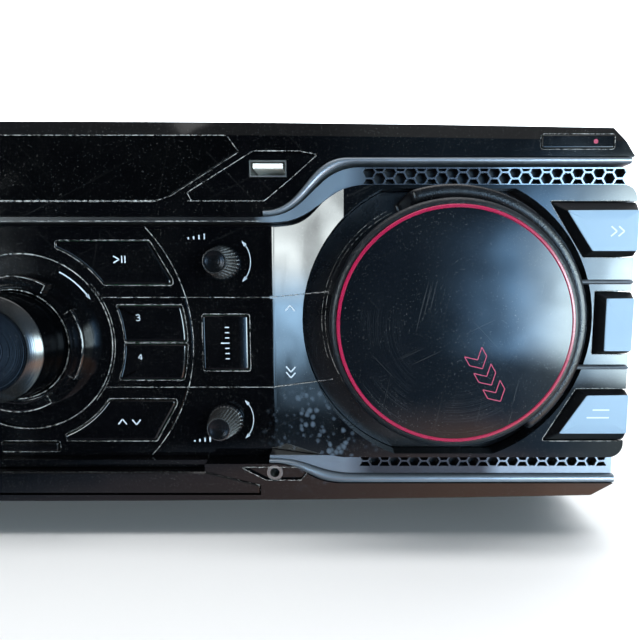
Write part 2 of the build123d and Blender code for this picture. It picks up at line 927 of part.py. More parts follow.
# Wheel surround: flat ring at the foot of the well, a raised crescent and two ribs
with BuildPart() as surround:
    with BuildSketch(front_plane(-moulding)):
        with Locations((wheel_x, wheel_z)):
            Circle(well_radius - front_gap)
        with Locations((wheel_x, (well_low + well_high) / 2)):
            Rectangle(2 * well_radius, well_high - well_low - 2 * front_gap, mode=Mode.INTERSECT)
        with Locations((wheel_x, wheel_z)):
            Circle(wheel_radius + running_gap, mode=Mode.SUBTRACT)
    extrude(amount=surround_reach + moulding)
    with BuildSketch(front_plane(surround_reach)):
        with BuildLine():
            inner_crescent = wheel_radius + running_gap
            CenterArc((wheel_x, wheel_z), crescent_radius, crescent_start, crescent_end - crescent_start)
            CenterArc((wheel_x, wheel_z), inner_crescent, crescent_start, crescent_end - crescent_start)
            for angle in (crescent_start, crescent_end):
                reach_x = math.cos(math.radians(angle))
                reach_z = math.sin(math.radians(angle))
                Line(
                    (wheel_x + inner_crescent * reach_x, wheel_z + inner_crescent * reach_z),
                    (wheel_x + crescent_radius * reach_x, wheel_z + crescent_radius * reach_z),
                )
        make_face()
    extrude(amount=crescent_reach - surround_reach)
    with BuildSketch(front_plane(bezel_reach)):
        for height in rib_heights:
            rib_start = wheel_x + math.sqrt(crescent_radius**2 - (height - wheel_z) ** 2) - rib_overlap
            rib_end = side_edge - side_trim
            with Locations(((rib_start + rib_end) / 2, height)):
                Rectangle(rib_end - rib_start, rib_thickness)
    extrude(amount=rib_reach)
save(join_pair(surround), "wheel_surrounds")

# Wheel: a hollow cap on a shaft, with a groove for the red ring
ring_inner = ring_outer - ring_width
wheel_face_back = wheel_reach - groove_depth - wheel_face_thickness
with BuildPart() as right_wheel:
    with BuildSketch(turning_plane(wheel_x, wheel_z)):
        with BuildLine():
            ThreePointArc(
                (0, wheel_reach),
                (ring_inner / 2, wheel_reach - wheel_crown_middle),
                (ring_inner, wheel_reach - wheel_crown),
            )
            Polyline(
                (ring_inner, wheel_reach - wheel_crown),
                (ring_inner, wheel_reach - groove_depth),
                (ring_outer, wheel_reach - groove_depth),
                (ring_outer, wheel_reach - wheel_rim_drops[0]),
                (ring_outer + wheel_rim_width, wheel_reach - wheel_rim_drops[1]),
                (wheel_radius, wheel_reach - wheel_rim_drops[2]),
                (wheel_radius, wheel_back),
                (wheel_radius - moulding, wheel_back),
                (wheel_radius - moulding, wheel_face_back),
                (wheel_hub_radius, wheel_face_back),
                (wheel_hub_radius, wheel_hub_end),
                (wheel_shaft_radius, wheel_hub_end),
                (wheel_shaft_radius, shaft_end),
                (0, shaft_end),
                (0, wheel_reach),
            )
        make_face()
    revolve(axis=forward_axis(wheel_x, wheel_z))
save(right_wheel, "right_wheel")
left_wheel = twin(right_wheel)
save(left_wheel, "left_wheel")

with BuildPart() as right_wheel_ring:
    with BuildSketch(turning_plane(wheel_x, wheel_z)):
        with Locations((ring_outer - ring_width / 2, wheel_reach - groove_depth + ring_height / 2)):
            Rectangle(ring_width - 2 * ring_clearance, ring_height)
    revolve(axis=forward_axis(wheel_x, wheel_z))
    fillet(right_wheel_ring.edges().group_by(Axis.Y)[0], radius=ring_fillet)
save(right_wheel_ring, "right_wheel_ring")
left_wheel_ring = twin(right_wheel_ring)
save(left_wheel_ring, "left_wheel_ring")

# Volume ring: raised ring round the knob with four notches
with BuildPart() as volume_ring:
    with BuildSketch(front_plane(-dish_depth)):
        with Locations((0, dial_z)):
            Circle(dial_ring_outer)
            Circle(dial_ring_inner, mode=Mode.SUBTRACT)
    extrude(amount=dial_ring_reach + dish_depth)
    outer_rim = volume_ring.edges().group_by(Axis.Y)[0].sort_by(SortBy.RADIUS)[-1]
    chamfer(outer_rim, length=dial_ring_chamfer)
    with BuildSketch(front_plane(notch_floor)):
        for angle in (45, 135, 225, 315):
            with BuildLine():
                CenterArc((0, dial_z), dial_ring_outer + 1, angle - notch_angle / 2, notch_angle)
                CenterArc((0, dial_z), notch_radius, angle - notch_angle / 2, notch_angle)
                for end in (angle - notch_angle / 2, angle + notch_angle / 2):
                    reach_x = math.cos(math.radians(end))
                    reach_z = math.sin(math.radians(end))
                    Line(
                        (notch_radius * reach_x, dial_z + notch_radius * reach_z),
                        ((dial_ring_outer + 1) * reach_x, dial_z + (dial_ring_outer + 1) * reach_z),
                    )
            make_face()
    extrude(amount=dial_ring_reach, mode=Mode.SUBTRACT)
save(volume_ring, "volume_ring")

# Volume knob: tapered, with a shallow conical face, on its shaft
with BuildPart() as volume_knob:
    with BuildSketch(turning_plane(0, dial_z)):
        with BuildLine():
            Polyline(
                (0, knob_reach - face_dish),
                (knob_face_radius - knob_lip_width, knob_reach),
                (knob_face_radius, knob_reach - knob_lip_drop),
                (knob_radius, knob_foot + knob_wall_height),
                (knob_radius, knob_foot),
                (shaft_radius, knob_foot),
                (shaft_radius, shaft_end),
                (0, shaft_end),
                (0, knob_reach - face_dish),
            )
        make_face()
    revolve(axis=forward_axis(0, dial_z))
save(volume_knob, "volume_knob")

# Small knobs: tapered and fluted, one at each corner of the deck
with BuildPart() as tuner_knob:
    with BuildSketch(turning_plane(tuner_x, dial_z + tuner_offset)):
        with BuildLine():
            Polyline(
                (0, tuner_reach),
                (tuner_top_radius - tuner_edge, tuner_reach),
                (tuner_top_radius, tuner_reach - tuner_edge),
                (tuner_base_radius - tuner_skirt_step, tuner_foot + tuner_skirt + tuner_skirt_slope),
                (tuner_base_radius, tuner_foot + tuner_skirt),
                (tuner_base_radius, tuner_foot),
                (tuner_shaft_radius, tuner_foot),
                (tuner_shaft_radius, shaft_end),
                (0, shaft_end),
                (0, tuner_reach),
            )
        make_face()
    revolve(axis=forward_axis(tuner_x, dial_z + tuner_offset))
    for flute in range(tuner_flutes):
        flute_angle = 360.0 * flute / tuner_flutes
        with BuildSketch(front_plane(tuner_foot + flute_start)):
            with Locations((tuner_x, dial_z + tuner_offset)):
                with PolarLocations(tuner_base_radius - flute_base_inset, 1, flute_angle):
                    Circle(flute_base_radius)
        with BuildSketch(front_plane(tuner_reach + flute_overrun)):
            with Locations((tuner_x, dial_z + tuner_offset)):
                with PolarLocations(tuner_top_radius + flute_top_outset, 1, flute_angle):
                    Circle(flute_top_radius)
        loft(mode=Mode.SUBTRACT)
save(tuner_knob, "treble_knob")
save(twin(tuner_knob), "bass_knob")
with BuildPart() as lower_tuner:
    mirror(tuner_knob.part, about=Plane.XY.offset(dial_z))
save(lower_tuner, "microphone_knob")
save(twin(lower_tuner), "balance_knob")

# Keys: a cap in its hole and a stem that reaches its switch
stem_end = switch_reach + key_travel + switch_gap


def cap_and_stem(draw_cap, stem_x, stem_z, cap_back, cap_front, radius=stem_radius):
    """Key with the given cap outline and a round stem."""
    with BuildPart() as key:
        with BuildSketch(front_plane(cap_back)):
            draw_cap()
        extrude(amount=cap_front - cap_back)
        chamfer(key.faces().sort_by(Axis.Y)[0].edges(), length=key_chamfer)
        with BuildSketch(front_plane(stem_end)):
            with Locations((stem_x, stem_z)):
                Circle(radius)
        extrude(amount=cap_back - stem_end)
    return key


def open_key_cap():
    """Long low key under the dial that opens the tray."""
    with Locations((open_key_x, open_key_z)):
        RectangleRounded(open_key_width, open_key_height, open_key_corner)


def small_key_cap():
    """Small outlined key at the end of the fascia."""
    with Locations((small_key_x, small_key_z)):
        Rectangle(small_key_width, small_key_height)


upper_key_stem = ((inner_arc + key_right) / 2 - play_stem_offset, dial_z + (key_near + key_far) / 2)
stack_key_stem = ((inner_arc + outer_arc) / 2, dial_z + stack_half_height / 2)
play_key = cap_and_stem(upper_key_face, *upper_key_stem, key_back, key_reach)
key_three = cap_and_stem(stack_key_face, *stack_key_stem, key_back, key_reach)
with BuildPart() as change_key:
    mirror(play_key.part, about=Plane.XY.offset(dial_z))
with BuildPart() as key_four:
    mirror(key_three.part, about=Plane.XY.offset(dial_z))
function_key = cap_and_stem(function_key_face, function_key_x, dial_z, key_back, key_reach)
small_key_back = fascia_reach - small_key_depth
small_key_front = fascia_reach + small_key_proud
small_key_stem = (small_key_x, small_stem_z)
record_key = cap_and_stem(small_key_cap, *small_key_stem, small_key_back, small_key_front, small_stem_radius)
save(play_key, "play_key")
save(change_key, "key_change_key")
save(key_three, "number_3_key")
save(key_four, "number_4_key")
save(function_key, "right_function_key")
save(record_key, "record_key")
save(twin(play_key), "stop_key")
save(twin(change_key), "echo_key")
save(twin(key_three), "number_1_key")
save(twin(key_four), "number_2_key")
save(twin(function_key), "left_function_key")
save(twin(record_key), "power_key")
open_key = cap_and_stem(open_key_cap, open_key_x, open_key_z, key_back, key_reach)
save(open_key, "open_key")

# Side keys: a block with a bevelled inner flank, wrapping the side of the front
for place, (base, face) in side_key_outlines.items():
    with BuildPart() as side_key:
        with BuildSketch(front_plane(side_floor + side_travel + side_gap)):
            quad_face(base)
        extrude(amount=bezel_reach - side_floor - side_travel - side_gap)
        with BuildSketch(front_plane(bezel_reach)):
            quad_face(base)
        with BuildSketch(front_plane(side_key_reach)):
            quad_face(face)
        loft()
        with BuildSketch(front_plane(switch_reach + side_travel + switch_gap)):
            with Locations(side_key_stem(face)):
                Circle(stem_radius)
        extrude(amount=-switch_reach + side_floor)
    save(side_key, f"right_{place}_side_key")
    save(twin(side_key), f"left_{place}_side_key")

# Lower fascia: the bottom of the front, with the tray's opening and the jack recess
tray_tip_z = tray_front_bottom + tray_tip_height


def tray_front_face(grow=0.0):
    """Tray front: long bar whose ends slope down to a blunt tip."""
    with BuildLine() as outline:
        Polyline(
            (-tray_front_half - grow, tray_front_bottom - grow),
            (tray_front_half + grow, tray_front_bottom - grow),
            (tray_front_half + grow, tray_tip_z + grow),
            (tray_front_half - tray_tip_run, tray_tip_z + tray_tip_rise + grow),
            (tray_slope_x, tray_front_top + grow),
            (-tray_slope_x, tray_front_top + grow),
            (-tray_front_half + tray_tip_run, tray_tip_z + tray_tip_rise + grow),
            (-tray_front_half - grow, tray_tip_z + grow),
            close=True,
        )
    make_face(outline.edges())


lower_low = shifted(lower_strip_low, -front_gap, -front_gap)
lower_fascia_top = deck_bottom - front_gap
with BuildPart() as lower_fascia:
    with BuildSketch(front_plane(-frame_depth)):
        with BuildLine():
            ThreePointArc((-lower_corner_x, base_arc_end), (0, base_arc_middle), (lower_corner_x, base_arc_end))
            Polyline((lower_corner_x, base_arc_end), (strip_end, lower_low[3]), (lower_low[2], lower_low[3]))
            sweep_line(lower_low)
            Polyline(
                (lower_low[0], lower_low[1]),
                (lower_low[0], lower_fascia_top),
                (-lower_low[0], lower_fascia_top),
                (-lower_low[0], lower_low[1]),
            )
            sweep_line((-lower_low[0], lower_low[1], -lower_low[2], lower_low[3]))
            Polyline((-lower_low[2], lower_low[3]), (-strip_end, lower_low[3]), (-lower_corner_x, base_arc_end))
        make_face()
    extrude(amount=frame_depth + fascia_reach)
    with Locations((0, deck_y + (moulding + frame_depth + 1) / 2, (frame_bottom + cover_top) / 2)):
        Box(front_width, frame_depth + 1 - moulding, cover_top - frame_bottom, mode=Mode.SUBTRACT)
    with BuildSketch(front_plane(-frame_depth)):
        tray_front_face(tray_gap)
    extrude(amount=frame_depth + fascia_reach + 1, mode=Mode.SUBTRACT)
    with BuildSketch(front_plane(fascia_reach / 2)):
        with Locations((0, tray_front_top + (deck_bottom - tray_front_top) / 2 + tray_gap)):
            Rectangle(2 * tray_slope_x, deck_bottom - tray_front_top)
    extrude(amount=fascia_reach, mode=Mode.SUBTRACT)
    with BuildSketch(front_plane(fascia_reach - socket_recess)):
        quad_face(jack_recess)
        mirror(about=Plane.YZ)
    extrude(amount=socket_recess + 1, mode=Mode.SUBTRACT)
    with BuildSketch(front_plane(-frame_depth)):
        with Locations((jack_x, jack_z), (-jack_x, jack_z)):
            Circle(jack_outer + front_gap / 2)
    extrude(amount=2 * frame_depth, mode=Mode.SUBTRACT)
save(lower_fascia, "lower_fascia")

with BuildPart() as tray_front:
    with BuildSketch(front_plane(tray_front_back)):
        tray_front_face()
    extrude(amount=fascia_reach - tray_front_back)
    chamfer(tray_front.faces().sort_by(Axis.Y)[0].edges(), length=tray_front_chamfer)
save(tray_front, "tray_front")

# Front sockets: two USB shells with their tongues and two small jacks
jack_front = fascia_reach - socket_recess + jack_proud
with BuildPart() as front_sockets:
    with BuildSketch(front_plane(board_face)):
        with Locations((usb_x, usb_z), (-usb_x, usb_z)):
            Rectangle(usb_width, usb_height)
            Rectangle(usb_opening[0], usb_opening[1], mode=Mode.SUBTRACT)
            with Locations((0, usb_tongue_rise)):
                Rectangle(usb_tongue_width, usb_tongue_thickness)
    extrude(amount=usb_front - board_face)
    with BuildSketch(front_plane(board_face)):
        with Locations((usb_x, usb_z), (-usb_x, usb_z)):
            Rectangle(usb_width, usb_height)
    extrude(amount=usb_back_wall)
    with BuildSketch(front_plane(moulding - frame_depth)):
        with Locations((jack_x, jack_z), (-jack_x, jack_z)):
            Circle(jack_outer)
    extrude(amount=jack_front + frame_depth - moulding)
    with BuildSketch(front_plane(jack_front - jack_depth)):
        with Locations((jack_x, jack_z), (-jack_x, jack_z)):
            Circle(jack_bore)
    extrude(amount=jack_depth + 1, mode=Mode.SUBTRACT)
save(front_sockets, "front_sockets")

# Front frame: moulded carrier behind the whole front
with BuildPart() as front_frame:
    with BuildSketch(front_plane(-frame_depth)):
        with Locations((0, (frame_bottom + frame_top) / 2)):
            Rectangle(cover_width, frame_top - frame_bottom)
    extrude(amount=frame_depth - moulding)
    with BuildSketch(front_plane(moulding - frame_depth)):
        with Locations((0, (frame_bottom + frame_top) / 2)):
            Rectangle(cover_width - 2 * moulding, frame_top - frame_bottom - 2 * moulding)
    extrude(amount=frame_depth, mode=Mode.SUBTRACT)
    with BuildSketch(front_plane(-frame_depth)):
        with Locations((0, frame_bottom)):
            passage_height = 2 * (tray_front_top - frame_bottom + tray_passage)
            Rectangle(2 * (tray_front_half + tray_passage), passage_height)
    extrude(amount=frame_depth, mode=Mode.SUBTRACT)
save(front_frame, "front_frame")

# Control board with the display module, the encoders and the switches
switch_places = [upper_key_stem, stack_key_stem, (function_key_x, dial_z)]
switch_places += [(x, 2 * dial_z - z) for x, z in (upper_key_stem, stack_key_stem)]
switch_places += [side_key_stem(face) for base, face in side_key_outlines.values()]
switch_places += [(-x, z) for x, z in switch_places] + [(open_key_x, open_key_z)]
small_places = [(side * small_key_x, small_stem_z) for side in (-1, 1)]
knob_places = [(side * tuner_x, dial_z + rise) for side in (-1, 1) for rise in (-tuner_offset, tuner_offset)]
with BuildPart() as control_board:
    with BuildSketch(front_plane(moulding - frame_depth)):
        with Locations((0, (board_low + board_high) / 2)):
            Rectangle(cover_width - 2 * (moulding + board_side_gap), board_high - board_low)
    extrude(amount=board_thickness)
    with BuildSketch(front_plane(board_face)):
        with Locations(*switch_places):
            Rectangle(switch_size, switch_size)
        with Locations(*small_places):
            Rectangle(small_switch_size, small_switch_size)
    extrude(amount=switch_body)
    with BuildSketch(front_plane(board_face)):
        with Locations(*switch_places):
            Circle(stem_radius)
        with Locations(*small_places):
            Circle(small_stem_radius)
    extrude(amount=switch_reach - board_face)
    with BuildSketch(front_plane(board_face)):
        with Locations((0, dial_z), (wheel_x, wheel_z), (-wheel_x, wheel_z), *knob_places):
            Rectangle(encoder_body, encoder_body)
    extrude(amount=encoder_height)
    with BuildSketch(front_plane(board_face + board_front)):
        with Locations((0, dial_z)):
            Circle(shaft_radius + shaft_clearance)
        with Locations((wheel_x, wheel_z), (-wheel_x, wheel_z)):
            Circle(wheel_shaft_radius + shaft_clearance)
        with Locations(*knob_places):
            Circle(tuner_shaft_radius + shaft_clearance)
    extrude(amount=encoder_height, mode=Mode.SUBTRACT)
    with BuildSketch(front_plane(board_face)):
        with Locations((0, (window_low + window_high) / 2)):
            Rectangle(2 * display_half, display_height)
    extrude(amount=fascia_reach - moulding - board_face - display_gap)
save(control_board, "control_board")

# Chassis base: folded steel pan under everything
base_width = cover_width - 2 * sheet
base_top = foot_height + sheet
with BuildPart() as chassis_base:
    with BuildSketch(Plane.XY.offset(foot_height)):
        with Locations((0, case_middle_y)):
            Rectangle(base_width, case_depth)
    extrude(amount=sheet)
    with BuildSketch(Plane.XY.offset(foot_height)):
        with Locations((0, case_middle_y - sheet / 2)):
            with GridLocations(base_width - sheet, 1.0, 2, 1):
                Rectangle(sheet, case_depth - sheet)
    extrude(amount=base_side_height)
    with BuildSketch(Plane.XY.offset(foot_height)):
        with Locations((0, case_front_y + sheet / 2)):
            Rectangle(base_width, sheet)
    extrude(amount=base_front_height)
    with BuildSketch(front_plane(-frame_depth - 2 * sheet)):
        with Locations((0, (tray_front_bottom + cover_top) / 2 - tray_gap)):
            Rectangle(2 * (tray_front_half + tray_passage), cover_top - tray_front_bottom)
    extrude(amount=2 * sheet, mode=Mode.SUBTRACT)
    with Locations((0, vent_y, foot_height)):
        with GridLocations(vent_pitch, vent_length + vent_pitch, base_vents, 2):
            Box(vent_width, vent_length, 3 * sheet, mode=Mode.SUBTRACT)
save(chassis_base, "chassis_base")

# Top cover: folded steel lid with vents in its top and sides
with BuildPart() as top_cover:
    with BuildSketch(front_plane(-frame_depth)):
        with Locations((0, (base_top + cover_top) / 2)):
            Rectangle(cover_width, cover_top - base_top)
        with Locations((0, (base_top + cover_top) / 2 - sheet)):
            Rectangle(cover_width - 2 * sheet, cover_top - base_top, mode=Mode.SUBTRACT)
    extrude(amount=-case_depth)
    with Locations((0, cover_vent_y, cover_top)):
        with GridLocations(vent_pitch, vent_length + vent_pitch, cover_vents, 2):
            Box(vent_width, vent_length, 3 * sheet, mode=Mode.SUBTRACT)
    with Locations((0, cover_vent_y, (base_top + cover_top) / 2)):
        with GridLocations(1.0, vent_pitch, 1, side_vents):
            Box(front_width, vent_width, side_vent_length, mode=Mode.SUBTRACT)
save(top_cover, "top_cover")

# Rear panel: steel sheet with cut-outs for the fan and the sockets
with BuildPart() as rear_panel:
    with BuildSketch(front_plane(deck_y - rear_y)):
        with Locations((0, (base_top + cover_top - sheet) / 2)):
            Rectangle(base_width, cover_top - sheet - base_top)
        with Locations((fan_x, fan_z)):
            for ring in range(fan_guard_rings):
                Circle(fan_radius - ring * fan_guard_pitch, mode=Mode.SUBTRACT)
                Circle(fan_radius - ring * fan_guard_pitch - fan_guard_slot, mode=Mode.ADD)
            Rectangle(2 * fan_radius, fan_guard_bar)
            Rectangle(fan_guard_bar, 2 * fan_radius)
        with Locations((speaker_x, speaker_z)):
            Rectangle(speaker_width - 2 * speaker_lip, speaker_height - 2 * speaker_lip, mode=Mode.SUBTRACT)
        with Locations((line_x, line_z)):
            with GridLocations(line_pitch, line_pitch, 3, 2):
                Circle(line_radius + front_gap, mode=Mode.SUBTRACT)
        with Locations((inlet_x, inlet_z)):
            RectangleRounded(inlet_width, inlet_height, inlet_corner, mode=Mode.SUBTRACT)
    extrude(amount=sheet)
    bottom_flange_y = rear_y - sheet - flange_length / 2
    with Locations((0, bottom_flange_y, base_top + sheet / 2)):
        Box(base_width - 2 * flange_inset, flange_length, sheet)
save(rear_panel, "rear_panel")

# Rubber feet: four discs with a dished sole
with BuildPart() as rubber_feet:
    with BuildSketch(Plane.XZ):
        with BuildLine():
            Polyline(
                (0, foot_dish),
                (foot_radius - foot_dish_wall, foot_dish),
                (foot_radius - foot_dish_wall + foot_dish_slope, 0),
                (foot_radius - foot_chamfer, 0),
                (foot_radius, foot_chamfer),
                (foot_radius - foot_taper, foot_height),
                (0, foot_height),
                (0, foot_dish),
            )
        make_face()
    revolve(axis=Axis.Z)
foot_places = [(x, y, 0) for x in (-foot_x, foot_x) for y in (foot_front_y, foot_rear_y)]
one_foot = rubber_feet.part
with BuildPart() as rubber_feet:
    with Locations(*foot_places):
        add(one_foot)
save(rubber_feet, "rubber_feet")

# Case screws: button heads at the sides and the back of the cover, and at the fan's corners
screw_planes = []
for side in (-1, 1):
    for place in screw_ys:
        screw_planes.append(Plane(origin=(side * cover_width / 2, place, screw_z), z_dir=(side, 0, 0)))
rear_screws = [(place, rear_screw_z) for place in rear_screw_xs]
fan_screw_offset = fan_size / 2 - fan_hole_inset
rear_screws += [(fan_x + x * fan_screw_offset, fan_z + z * fan_screw_offset) for x in (-1, 1) for z in (-1, 1)]
screw_planes += [Plane(origin=(x, rear_y, z), z_dir=(0, 1, 0)) for x, z in rear_screws]
with BuildPart() as case_screws:
    for head in screw_planes:
        with BuildSketch(head):
            Circle(screw_head_radius)
        extrude(amount=screw_head_height)
        with BuildSketch(head.offset(screw_head_height)):
            with PolarLocations(0, 2, 0, 90):
                Rectangle(screw_slot_length, screw_slot_width)
        extrude(amount=-screw_slot_depth, mode=Mode.SUBTRACT)
save(case_screws, "case_screws")

# Rear sockets: speaker clamps, line and antenna sockets on their blocks
with BuildPart() as rear_sockets:
    with BuildSketch(front_plane(deck_y - rear_y + sheet)):
        with Locations((speaker_x, speaker_z)):
            Rectangle(speaker_width, speaker_height)
    extrude(amount=speaker_block)
    with BuildSketch(front_plane(deck_y - rear_y + sheet)):
        with Locations((speaker_x, speaker_z)):
            lip = speaker_lip + speaker_lip_gap
            Rectangle(speaker_width - 2 * lip, speaker_height - 2 * lip)
    extrude(amount=-2 * sheet)
    with BuildSketch(front_plane(deck_y - rear_y)):
        with Locations((speaker_x, speaker_z)):
            with GridLocations(speaker_pitch_x, speaker_pitch_z, 4, 2):
                RectangleRounded(speaker_key_width, speaker_key_height, speaker_key_corner)
    extrude(amount=-speaker_key_reach)
    with BuildSketch(front_plane(deck_y - rear_y - speaker_key_reach - 1)):
        with Locations((speaker_x, speaker_z - speaker_key_height / 4)):
            with GridLocations(speaker_pitch_x, speaker_pitch_z, 4, 2):
                Circle(speaker_wire_radius)
    extrude(amount=speaker_key_reach, mode=Mode.SUBTRACT)
    with BuildSketch(front_plane(deck_y - rear_y + sheet)):
        with Locations((line_x, line_z)):
            Rectangle(3 * line_pitch, 2 * line_pitch)
    extrude(amount=line_block)
    with BuildSketch(front_plane(deck_y - rear_y + sheet)):
        with Locations((line_x, line_z)):
            with GridLocations(line_pitch, line_pitch, 3, 2):
                Circle(line_radius)
    extrude(amount=-socket_reach - sheet)
    with BuildSketch(front_plane(deck_y - rear_y - socket_reach)):
        with Locations((line_x, line_z)):
            with GridLocations(line_pitch, line_pitch, 3, 2):
                Circle(line_bore)
    extrude(amount=line_depth, mode=Mode.SUBTRACT)
save(rear_sockets, "rear_sockets")

# Mains inlet: a block with a two-pin well
with BuildPart() as mains_inlet:
    with BuildSketch(front_plane(deck_y - rear_y + sheet)):
        with Locations((inlet_x, inlet_z)):
            Rectangle(inlet_width + 2 * inlet_side_wall, inlet_height + 2 * inlet_top_wall)
    extrude(amount=inlet_block)
    with BuildSketch(front_plane(deck_y - rear_y + sheet)):
        with Locations((inlet_x, inlet_z)):
            RectangleRounded(inlet_width - 2 * front_gap, inlet_height - 2 * front_gap, inlet_corner)
    extrude(amount=-2 * sheet)
    with BuildSketch(front_plane(deck_y - rear_y - sheet)):
        with Locations((inlet_x, inlet_z)):
            SlotOverall(inlet_width - 2 * inlet_top_wall, inlet_height - 2 * inlet_top_wall)
    extrude(amount=inlet_well, mode=Mode.SUBTRACT)
    with BuildSketch(front_plane(deck_y - rear_y - sheet + inlet_well)):
        with Locations((inlet_x, inlet_z)):
            with GridLocations(inlet_pin_pitch, 1.0, 2, 1):
                Circle(inlet_pin_radius)
    extrude(amount=inlet_pin_recess - inlet_well)
save(mains_inlet, "mains_inlet")

# Fan: square frame with a hub on four struts, and a bladed rotor on its pin
fan_front_y = rear_y - sheet - fan_depth
with BuildPart() as fan_frame:
    with BuildSketch(front_plane(deck_y - fan_front_y - fan_depth)):
        with Locations((fan_x, fan_z)):
            RectangleRounded(fan_size, fan_size, fan_corner)
            Circle(fan_radius + fan_wall_gap, mode=Mode.SUBTRACT)
            with GridLocations(fan_size - 2 * fan_hole_inset, fan_size - 2 * fan_hole_inset, 2, 2):
                Circle(fan_hole_radius, mode=Mode.SUBTRACT)
    extrude(amount=fan_depth)
    with BuildSketch(front_plane(deck_y - fan_front_y - fan_depth)):
        with Locations((fan_x, fan_z)):
            Circle(fan_hub)
            Rectangle(fan_size - 2 * fan_strut_inset, fan_strut)
            Rectangle(fan_strut, fan_size - 2 * fan_strut_inset)
    extrude(amount=fan_strut)
    with BuildSketch(front_plane(deck_y - fan_front_y - fan_depth)):
        with Locations((fan_x, fan_z)):
            Circle(fan_pin_radius)
    extrude(amount=fan_depth - fan_pin_recess)
save(fan_frame, "fan_frame")

with BuildPart() as fan_rotor:
    with BuildSketch(front_plane(deck_y - fan_front_y - fan_depth + fan_strut + running_gap)):
        with Locations((fan_x, fan_z)):
            Circle(fan_hub)
    extrude(amount=fan_depth - fan_strut - 2 * running_gap)
    for blade in range(fan_blades):
        blade_angle = 360.0 * blade / fan_blades
        blade_origin = (fan_x, fan_front_y + (fan_depth - fan_strut) / 2, fan_z)
        reach_x = math.cos(math.radians(blade_angle))
        reach_z = math.sin(math.radians(blade_angle))
        root_plane = Plane(
            origin=blade_origin,
            x_dir=(-reach_z, 0, reach_x),
            z_dir=(reach_x, 0, reach_z),
        ).offset(fan_hub - fan_blade_root)
        with BuildSketch(root_plane):
            Rectangle(fan_blade_width, fan_blade_thickness, rotation=fan_pitch)
        extrude(amount=fan_radius - fan_hub)
    with BuildSketch(front_plane(deck_y - rear_y)):
        with Locations((fan_x, fan_z)):
            Circle(fan_pin_radius + shaft_clearance)
    extrude(amount=2 * fan_depth, mode=Mode.SUBTRACT)
save(fan_rotor, "fan_rotor")

# Boards: power supply on the left, main board at the back, heat sink on the right
board_bottom = base_top + standoff
board_top = board_bottom + board_thickness


def board_plate(width, depth):
    """Circuit board on four posts, its underside at height zero."""
    Box(width, depth, board_thickness, align=(Align.CENTER, Align.CENTER, Align.MIN))
    with GridLocations(width - 2 * standoff_inset, depth - 2 * standoff_inset, 2, 2):
        Cylinder(standoff_radius, standoff, align=(Align.CENTER, Align.CENTER, Align.MAX))


with BuildPart() as power_supply:
    with Locations((supply_x, supply_y, board_bottom)):
        board_plate(supply_width, supply_depth)
    with Locations((transformer_x, transformer_y, board_top)):
        Box(*transformer_size, align=(Align.CENTER, Align.CENTER, Align.MIN))
    with Locations((transformer_x, transformer_y, board_top + winding_rise)):
        Box(*winding_size, align=(Align.CENTER, Align.CENTER, Align.MIN))
    with Locations((capacitor_x, capacitor_y, board_top)):
        with GridLocations(*capacitor_pitch, 2, 2):
            Cylinder(capacitor_radius, capacitor_height, align=(Align.CENTER, Align.CENTER, Align.MIN))
save(power_supply, "power_supply")

with BuildPart() as main_board:
    with Locations((main_x, main_y, board_bottom)):
        board_plate(main_width, main_depth)
    with Locations((main_x, main_y, board_top)):
        Box(*chip_size, align=(Align.CENTER, Align.CENTER, Align.MIN))
    with Locations((tuner_can_x, tuner_can_y, board_top)):
        Box(*tuner_can_size, align=(Align.CENTER, Align.CENTER, Align.MIN))
    with Locations((small_capacitor_x, small_capacitor_y, board_top)):
        with GridLocations(*small_capacitor_pitch, 3, 2):
            can_place = (Align.CENTER, Align.CENTER, Align.MIN)
            Cylinder(small_capacitor_radius, small_capacitor_height, align=can_place)
save(main_board, "main_board")

with BuildPart() as heat_sink:
    with Locations((sink_x, sink_y, base_top)):
        Box(sink_width, sink_length, sink_foot, align=(Align.CENTER, Align.CENTER, Align.MIN))
        with GridLocations(sink_pitch, 1.0, sink_fins, 1):
            Box(sink_fin, sink_length, sink_height, align=(Align.CENTER, Align.CENTER, Align.MIN))
save(heat_sink, "heat_sink")

# Disc tray: a plate with the disc's hollow, a slot open to the back and a rack along its left side
tray_front_y = deck_y - tray_front_back
rack_pitch = math.pi * gear_module
gear_radius = gear_module * gear_teeth / 2
gear_x = -tray_half_width - rack_depth / 2 - mesh_gap - gear_radius
with BuildPart() as disc_tray:
    with BuildSketch(Plane.XY.offset(tray_bottom)):
        with Locations(((tray_guide - tray_half_width) / 2, (tray_front_y + tray_end_y) / 2)):
            Rectangle(tray_half_width + tray_guide, tray_end_y - tray_front_y)
    extrude(amount=tray_top - tray_bottom)
    with Locations((0, disc_y, tray_bottom + tray_plate)):
        well_place = (Align.CENTER, Align.CENTER, Align.MIN)
        Cylinder(disc_radius + disc_clearance, tray_top, align=well_place, mode=Mode.SUBTRACT)
    with Locations((0, disc_y, tray_bottom + tray_plate - small_disc_drop)):
        Cylinder(small_disc_radius, tray_top, align=well_place, mode=Mode.SUBTRACT)
    with Locations((0, disc_y - slot_front, tray_bottom - 1)):
        slot_size = (2 * slot_half_width, tray_end_y - disc_y + slot_front + 1, tray_top)
        Box(*slot_size, align=(Align.CENTER, Align.MIN, Align.MIN), mode=Mode.SUBTRACT)
    rack_teeth = int((rack_end_y - gear_y) / rack_pitch) + rack_lead_teeth + 1
    with BuildSketch(Plane.XY.offset(tray_bottom)):
        for tooth in range(-rack_lead_teeth, rack_teeth):
            tooth_y = gear_y + tooth * rack_pitch
            with BuildLine():
                Polyline(
                    (-tray_half_width, tooth_y - tooth_root / 2),
                    (-tray_half_width - rack_depth, tooth_y - tooth_tip / 2),
                    (-tray_half_width - rack_depth, tooth_y + tooth_tip / 2),
                    (-tray_half_width, tooth_y + tooth_root / 2),
                    close=True,
                )
            make_face()
    extrude(amount=gear_height)
